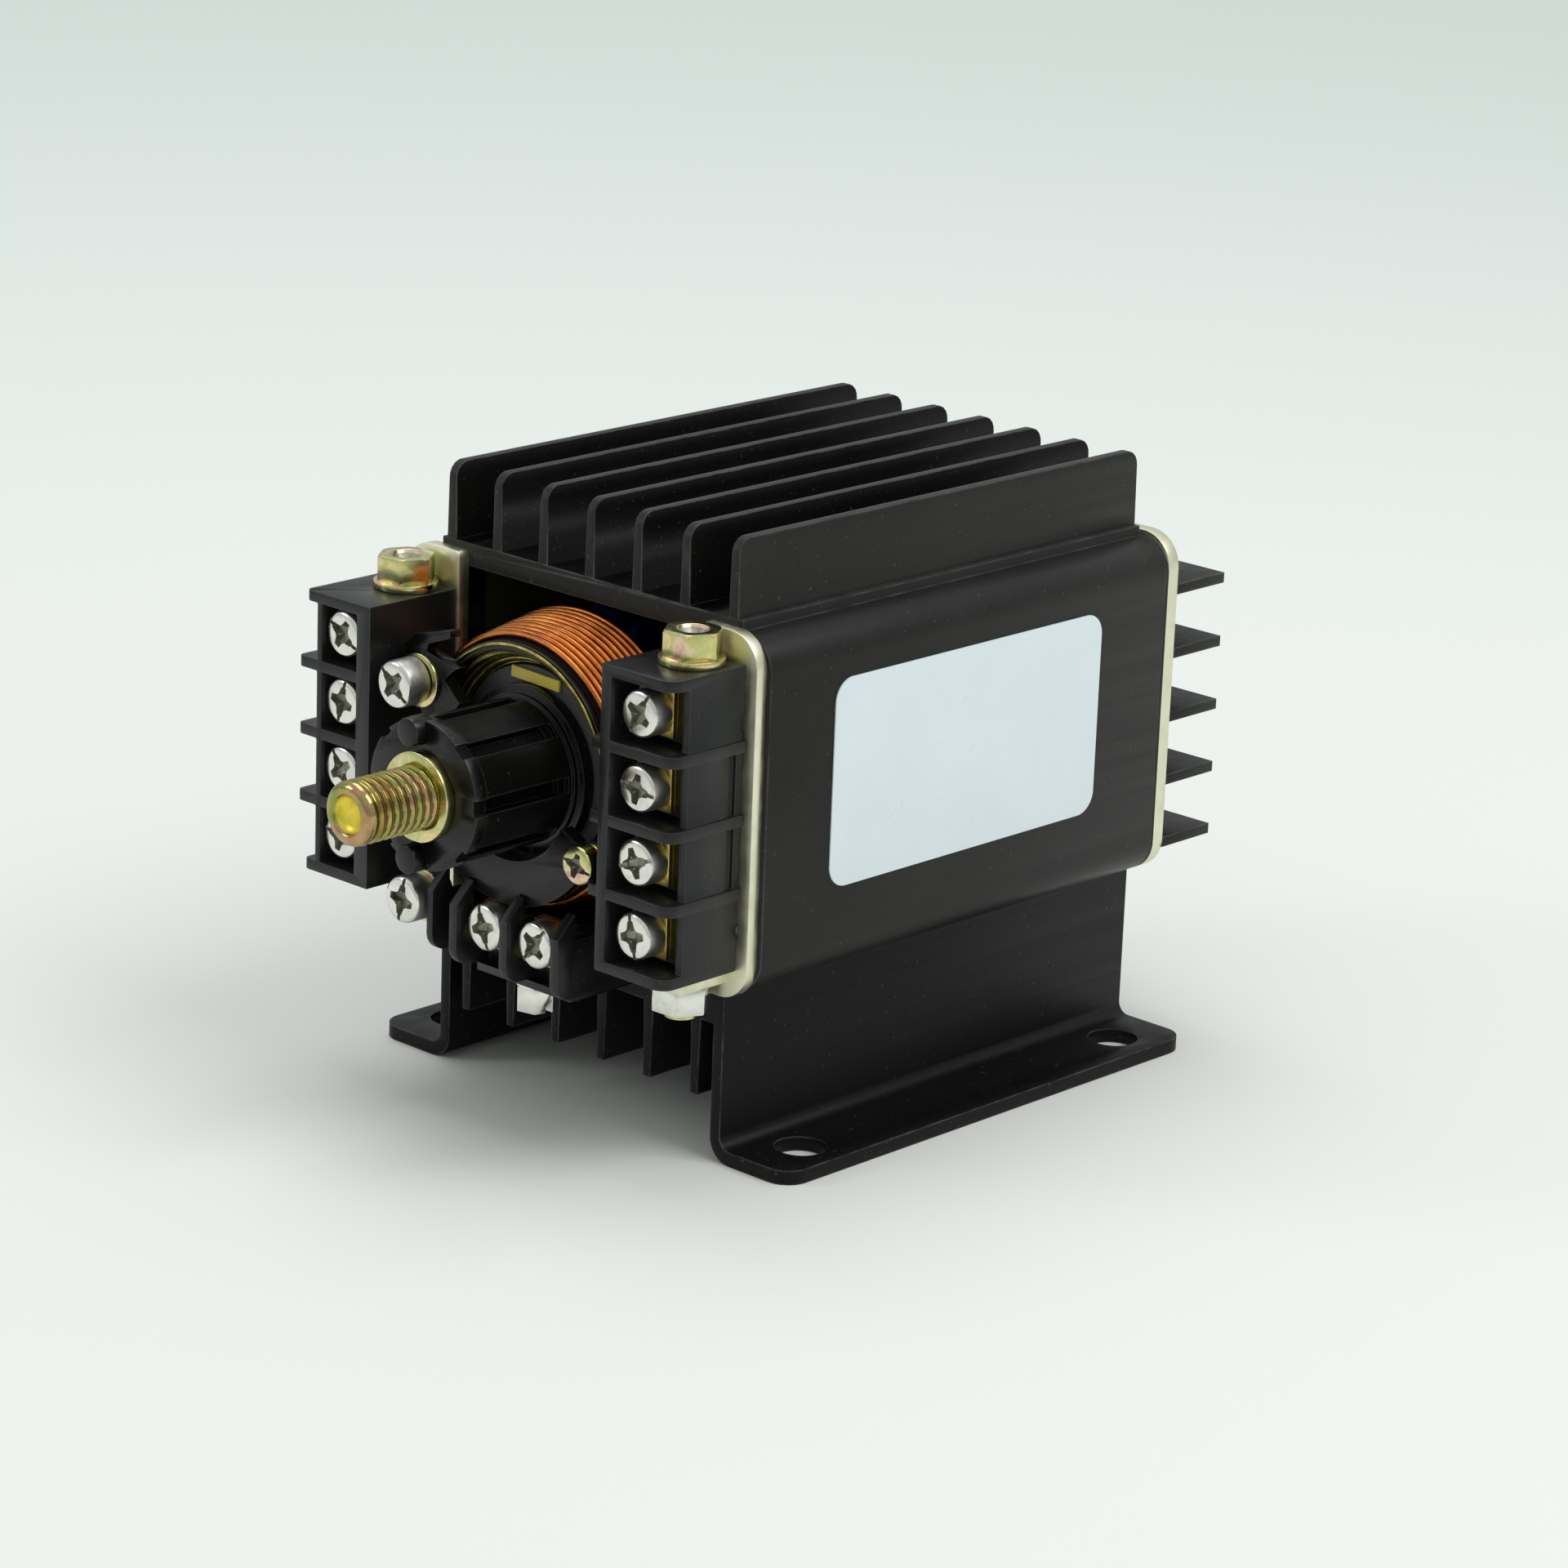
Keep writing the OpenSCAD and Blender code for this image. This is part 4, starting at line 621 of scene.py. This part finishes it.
def screw_template(r, h, shank_r, reach):
    """A flat round head along +Y with its top at y = 0, a wide cross recess and a thin slot."""
    bm = bmesh.new()
    rings = [circle_y(radius, depth) for radius, depth in head_profile(r, h)]
    rings += [circle_y(shank_r, h), circle_y(shank_r, h + reach), circle_y(0, h + reach)]
    ring_grid(bm, rings)
    body = scene_object("head", bm)
    bm = bmesh.new()
    deep_share, deepest = 0.62, 1.55
    deep = min(deep_share * h, deepest)
    slope, notch = deep / deep_share * 0.45, deep / deep_share * 0.4
    arm = [(-0.06 * r, 0.3 * r, deep), (0.32 * r, 0.25 * r, deep), (0.68 * r, 0.16 * r, slope)]
    between = [(0.0, 0.1 * r, notch), (0.42 * r, 0.05 * r, 0.6 * notch)]
    slot = [(-1.05 * r, 0.1 * r, 0.75 * notch), (1.05 * r, 0.1 * r, 0.75 * notch)]
    for turn in range(4):
        recess_prism(bm, turn * math.pi / 2, arm)
        recess_prism(bm, math.pi / 4 + turn * math.pi / 2, between)
    recess_prism(bm, 0.0, slot)
    cutter = scene_object("cutter", bm)
    cut = body.modifiers.new("cut", "BOOLEAN")
    cut.operation = "DIFFERENCE"
    cut.object = cutter
    cut.solver = "EXACT"
    cut.use_self = True
    bpy.context.view_layer.update()
    mesh = mesh_with_modifiers(body)
    bpy.data.objects.remove(body)
    bpy.data.objects.remove(cutter)
    profile = head_profile(r, h)
    for polygon in mesh.polygons:
        centre = polygon.center / MM
        radius = math.hypot(centre.x, centre.z)
        surface = h
        for (a, d), (b, e) in zip(profile, profile[1:]):
            if radius <= b:
                surface = d + (e - d) * (radius - a) / max(b - a, 1e-9)
                break
        # Faces inside the recess take the darker metal: painted shade.
        if surface + 0.05 < centre.y < h * 0.93 and radius < 0.95 * r:
            polygon.material_index = IN_HOLLOW_SHADE
        elif radius > 0.97 * r and centre.y < h and abs(polygon.normal.y) < 0.5:
            polygon.material_index = ON_SIDE
        else:
            polygon.material_index = IN_METAL
    return mesh


def screw_piece(node_name, rows, twists):
    """One mesh with a copy of a template in each row: its place, the template, its metal."""
    bm = bmesh.new()
    for index, (where, template, metal) in enumerate(rows):
        copy = template.copy()
        twist = Matrix.Rotation(math.radians(twists[index % len(twists)]), 4, "Y")
        copy.transform(Matrix.Translation(where) @ twist)
        for polygon in copy.polygons:
            if metal == IN_YELLOW and polygon.material_index != IN_HOLLOW_SHADE:
                polygon.material_index = IN_YELLOW
        bm.from_mesh(copy)
        bpy.data.meshes.remove(copy)
    add_piece(node_name + "_look", bm, [BRIGHT, HOLLOW_SHADE, YELLOW, HEAD_SIDE], [node_name],
              smooth_angle=38)


def solid_boxes(node_name):
    """The boxes of a node's separate solids, in mm, sorted by their low corners."""
    bm = node_bmesh(node_name)
    left = set(bm.verts)
    boxes = []
    while left:
        seed = left.pop()
        group, queue = [seed], [seed]
        while queue:
            vert = queue.pop()
            for edge in vert.link_edges:
                other = edge.other_vert(vert)
                if other in left:
                    left.remove(other)
                    group.append(other)
                    queue.append(other)
        low = [min(v.co[k] for v in group) / MM for k in range(3)]
        high = [max(v.co[k] for v in group) / MM for k in range(3)]
        boxes.append((low, high))
    bm.free()
    return sorted(boxes)


def head_places(node_name):
    """Middle of each screw's front face, in the order of solid_boxes."""
    return [Vector(((a[0] + b[0]) / 2, a[1], (a[2] + b[2]) / 2)) * MM
            for a, b in solid_boxes(node_name)]


def front_screws():
    """The screws that face the front, moved a little where the photograph shows them so."""
    short = screw_template(r=3.6, h=2.5, shank_r=1.75, reach=2.2)
    tall = screw_template(r=3.6, h=3.7, shank_r=1.75, reach=2.2)
    ear = screw_template(r=3.7, h=4.4, shank_r=1.5, reach=2.6)
    side_ear = screw_template(r=3.0, h=2.8, shank_r=1.5, reach=3.0)
    places = head_places("terminal_screws")
    left, right = places[:4], places[4:]
    out = Vector((0, -1.2, 0)) * MM
    rows = [(where, short, IN_METAL) for where in left]
    rows += [(where + out, tall, IN_METAL) for where in right]
    screw_piece("terminal_screws", rows, [12, 57, 103, 31, 78, 160, 8, 121])
    out_and_up = Vector((0, -1.2, 0.7)) * MM
    rows = [(where + out_and_up, tall, IN_METAL) for where in head_places("output_screws")]
    screw_piece("output_screws", rows, [72, 128])
    upper, lower, right_ear = head_places("bobbin_screws")
    rows = [(upper + Vector((-0.5, -1.1, 0)) * MM, ear, IN_METAL),
            (lower + Vector((0, -0.8, 0)) * MM, ear, IN_METAL),
            (right_ear, side_ear, IN_YELLOW)]
    screw_piece("bobbin_screws", rows, [40, 100, 15])


# ---------------------------------------------------------------- second materials and shifts
def from_axis(spot):
    """A point's x, y and z in mm from where the axis meets the case's face."""
    return spot.x / MM - AXIS_X, spot.y / MM - FACE_Y, spot.z / MM - AXIS_Z


def paint_fin_shade():
    """Painted shade: deep black between the case's top fins, but not on their two outer sides.
    """
    case = bpy.data.objects["case_shell_look"].data
    case.materials.append(FIN_SHADE)
    fin_foot = max(vertex.co.z for vertex in case.vertices) - FIN_HEIGHT * MM
    near, inner_x, floor_x, facing = 0.4 * MM, 30.2, 30, 0.7
    for polygon in case.polygons:
        x, z = polygon.center.x / MM, polygon.center.z
        side = z > fin_foot + near and abs(polygon.normal.x) > facing and abs(x) < inner_x
        gap_floor = abs(z - fin_foot) < near and abs(x) < floor_x and polygon.normal.z > facing
        if side or gap_floor:
            polygon.material_index = 1


def paint_flute_shade():
    """Painted shade: deep black in the stud holder's flutes."""
    holder = bpy.data.objects["stud_holder_look"].data
    holder.materials.append(HOLDER_SHADE)
    bore_r, fluted_r = 7, 10.9
    for polygon in holder.polygons:
        x, _, z = from_axis(polygon.center)
        if bore_r < math.hypot(x, z) < fluted_r and abs(polygon.normal.y) < 0.5:
            polygon.material_index = 1


def shrink_bobbin_flange():
    """Hides the bobbin's rear flange behind the copper turns."""
    flange_y, flange_r, new_r = (2.5, 4.5), 23.2, 21.2
    for vertex in bpy.data.objects["coil_bobbin_look"].data.vertices:
        x, y, z = from_axis(vertex.co)
        if flange_y[0] < y < flange_y[1] and new_r < math.hypot(x, z) < flange_r:
            shrink = new_r / math.hypot(x, z)
            vertex.co.x = (AXIS_X + x * shrink) * MM
            vertex.co.z = (AXIS_Z + z * shrink) * MM


def shift_right_plate():
    """Moves the right front plate and its screws inwards."""
    shift = 0.8 * MM
    for name in ("right_front_plate_look", "front_plate_screws_look"):
        for vertex in bpy.data.objects[name].data.vertices:
            if vertex.co.x > 0:
                vertex.co.x -= shift


def paint_socket_shade():
    """A darker second material in the hollows of the block bolts' heads: painted shade."""
    bolts = bpy.data.objects["block_bolts_look"].data
    bolts.materials.append(HOLLOW_SHADE)
    socket_r, rim, depth = 2.6, 0.35, 3.5
    for low, high in solid_boxes("block_bolts"):
        middle_x, middle_y = (low[0] + high[0]) / 2, (low[1] + high[1]) / 2
        for polygon in bolts.polygons:
            spot = polygon.center / MM
            across = math.hypot(spot.x - middle_x, spot.y - middle_y)
            if across < socket_r and rim < high[2] - spot.z < depth:
                polygon.material_index = 1


BEVEL_WIDTHS = {
    "case_shell": 0.25, "base_heatsink": 0.3, "rear_cooler": 0.25, "rear_plate": 0.25,
    "left_front_plate": 0.14, "right_front_plate": 0.14, "left_terminal_block": 0.2,
    "right_terminal_block": 0.2, "output_block": 0.2, "stud_holder": 0.25, "holder_pins": 0.3,
    "stud_collar": 0.2, "coil_bobbin": 0.2, "block_bolts": 0.2, "block_nuts": 0.25,
    "block_washers": 0.2, "bobbin_washers": 0.15, "output_hex_screw": 0.15,
    "output_bracket": 0.2, "terminal_clamps": 0.12, "output_clamps": 0.12, "label_plate": 0.1,
    "front_plate_screws": 0.08,
}
for node_name, width in BEVEL_WIDTHS.items():
    softened(node_name, width)
paint_fin_shade()
paint_flute_shade()
shrink_bobbin_flange()
shift_right_plate()
paint_socket_shade()
threaded_stud()
copper_winding()
inner_strands()
front_screws()


# ---------------------------------------------------------------- camera
# Lens and place come from a fit to the photograph's fins, feet and case edges.
camera_data = bpy.data.cameras.new("camera")
camera_data.sensor_fit = "HORIZONTAL"
camera_data.sensor_width = 36.0
camera_data.lens = 119.3885
camera_data.clip_start = 0.02
camera_data.clip_end = 30.0
camera = bpy.data.objects.new("camera", camera_data)
bpy.context.scene.collection.objects.link(camera)
camera.matrix_world = Matrix((
    (0.72696922, -0.22640848, 0.64827074, 0.53319379),
    (0.68569684, 0.18911065, -0.70289189, -0.58047835),
    (0.03654578, 0.95549797, 0.29272520, 0.28450339),
    (0.0, 0.0, 0.0, 1.0)))
bpy.context.scene.camera = camera


# ---------------------------------------------------------------- light, floor and world
def area_light(name, place, size, power, colour):
    """A rectangular lamp aimed at the part's middle; lengths in metres."""
    target = Vector((0, -0.01, 0.05))
    data = bpy.data.lights.new(name, "AREA")
    data.shape = "RECTANGLE"
    data.size, data.size_y = size
    data.energy = power
    data.color = colour
    light = bpy.data.objects.new(name, data)
    bpy.context.scene.collection.objects.link(light)
    light.location = place
    light.rotation_euler = (target - Vector(place)).to_track_quat("-Z", "Y").to_euler()


def pale_floor():
    """A floor that turns cooler away from the camera, with a glow there that only it sees."""
    w = 8                               # half the floor's width, in metres
    away_x, away_y = -0.678, 0.735      # the level direction in which the camera looks
    mesh = bpy.data.meshes.new("floor")
    mesh.from_pydata([(-w, -w, 0), (w, -w, 0), (w, w, 0), (-w, w, 0)], [], [(0, 1, 2, 3)])
    floor = bpy.data.objects.new("floor", mesh)
    bpy.context.scene.collection.objects.link(floor)
    s = Shade("floor", 0.75, specular=0.2)
    split = s.tree.nodes.new("ShaderNodeSeparateXYZ")
    s.link(s.coord, split.inputs[0])
    away = s.math("ADD", s.math("MULTIPLY", split.outputs["X"], away_x),
                  s.math("MULTIPLY", split.outputs["Y"], away_y))
    s.colour(s.ramp(s.span(away, (-0.3, 1.4), (0.0, 1.0)),
                    [(0.0, (0.92, 0.93, 0.895)), (0.25, (0.92, 0.94, 0.91)),
                     (0.55, (0.84, 0.9, 0.87)), (1.0, (0.74, 0.82, 0.78))]))
    s.bsdf.inputs["Emission Color"].default_value = (0.9, 1.0, 0.95, 1)
    camera_ray = s.tree.nodes.new("ShaderNodeLightPath").outputs["Is Camera Ray"]
    glow = s.math("MULTIPLY", s.span(away, (0.1, 1.3), (0.0, 0.19)), camera_ray)
    s.link(glow, s.bsdf.inputs["Emission Strength"])
    s.bump(s.noise(900, detail=3), 0.05, 0.00005)
    set_material(floor, s.material)


def studio_world():
    """A pale sky, brighter in what the camera, metal and glass see than in its light."""
    world = bpy.data.worlds.new("world")
    bpy.context.scene.world = world
    world.use_nodes = True
    nodes, links = world.node_tree.nodes, world.node_tree.links
    coord = nodes.new("ShaderNodeTexCoord")
    split = nodes.new("ShaderNodeSeparateXYZ")
    ramp = nodes.new("ShaderNodeValToRGB")
    stops = [(0.0, (0.58, 0.64, 0.61, 1)), (0.7, (0.96, 0.97, 0.965, 1))]
    for element, (place, colour) in zip(ramp.color_ramp.elements, stops):
        element.position = place
        element.color = colour
    background = nodes["Background"]
    links.new(coord.outputs["Generated"], split.inputs[0])
    links.new(split.outputs["Z"], ramp.inputs["Fac"])
    links.new(ramp.outputs["Color"], background.inputs["Color"])
    path = nodes.new("ShaderNodeLightPath")
    seen = path.outputs["Is Camera Ray"]
    for other in ("Is Glossy Ray", "Is Transmission Ray"):
        larger = nodes.new("ShaderNodeMath")
        larger.operation = "MAXIMUM"
        links.new(seen, larger.inputs[0])
        links.new(path.outputs[other], larger.inputs[1])
        seen = larger.outputs[0]
    strength = nodes.new("ShaderNodeMapRange")
    strength.inputs["To Min"].default_value = 0.55      # as light
    strength.inputs["To Max"].default_value = 0.75      # as seen
    links.new(seen, strength.inputs["Value"])
    links.new(strength.outputs["Result"], background.inputs["Strength"])


area_light("key", (0.7, 0.15, 1.0), (0.7, 0.6), 4.6, (1.0, 0.995, 0.98))
area_light("top", (-0.25, 0.1, 1.1), (0.5, 0.8), 3.0, (0.97, 0.99, 1.0))
area_light("left", (-0.75, -0.85, 0.55), (0.3, 0.5), 1.6, (0.98, 0.99, 1.0))
pale_floor()
studio_world()

bpy.context.scene.view_settings.view_transform = "Standard"
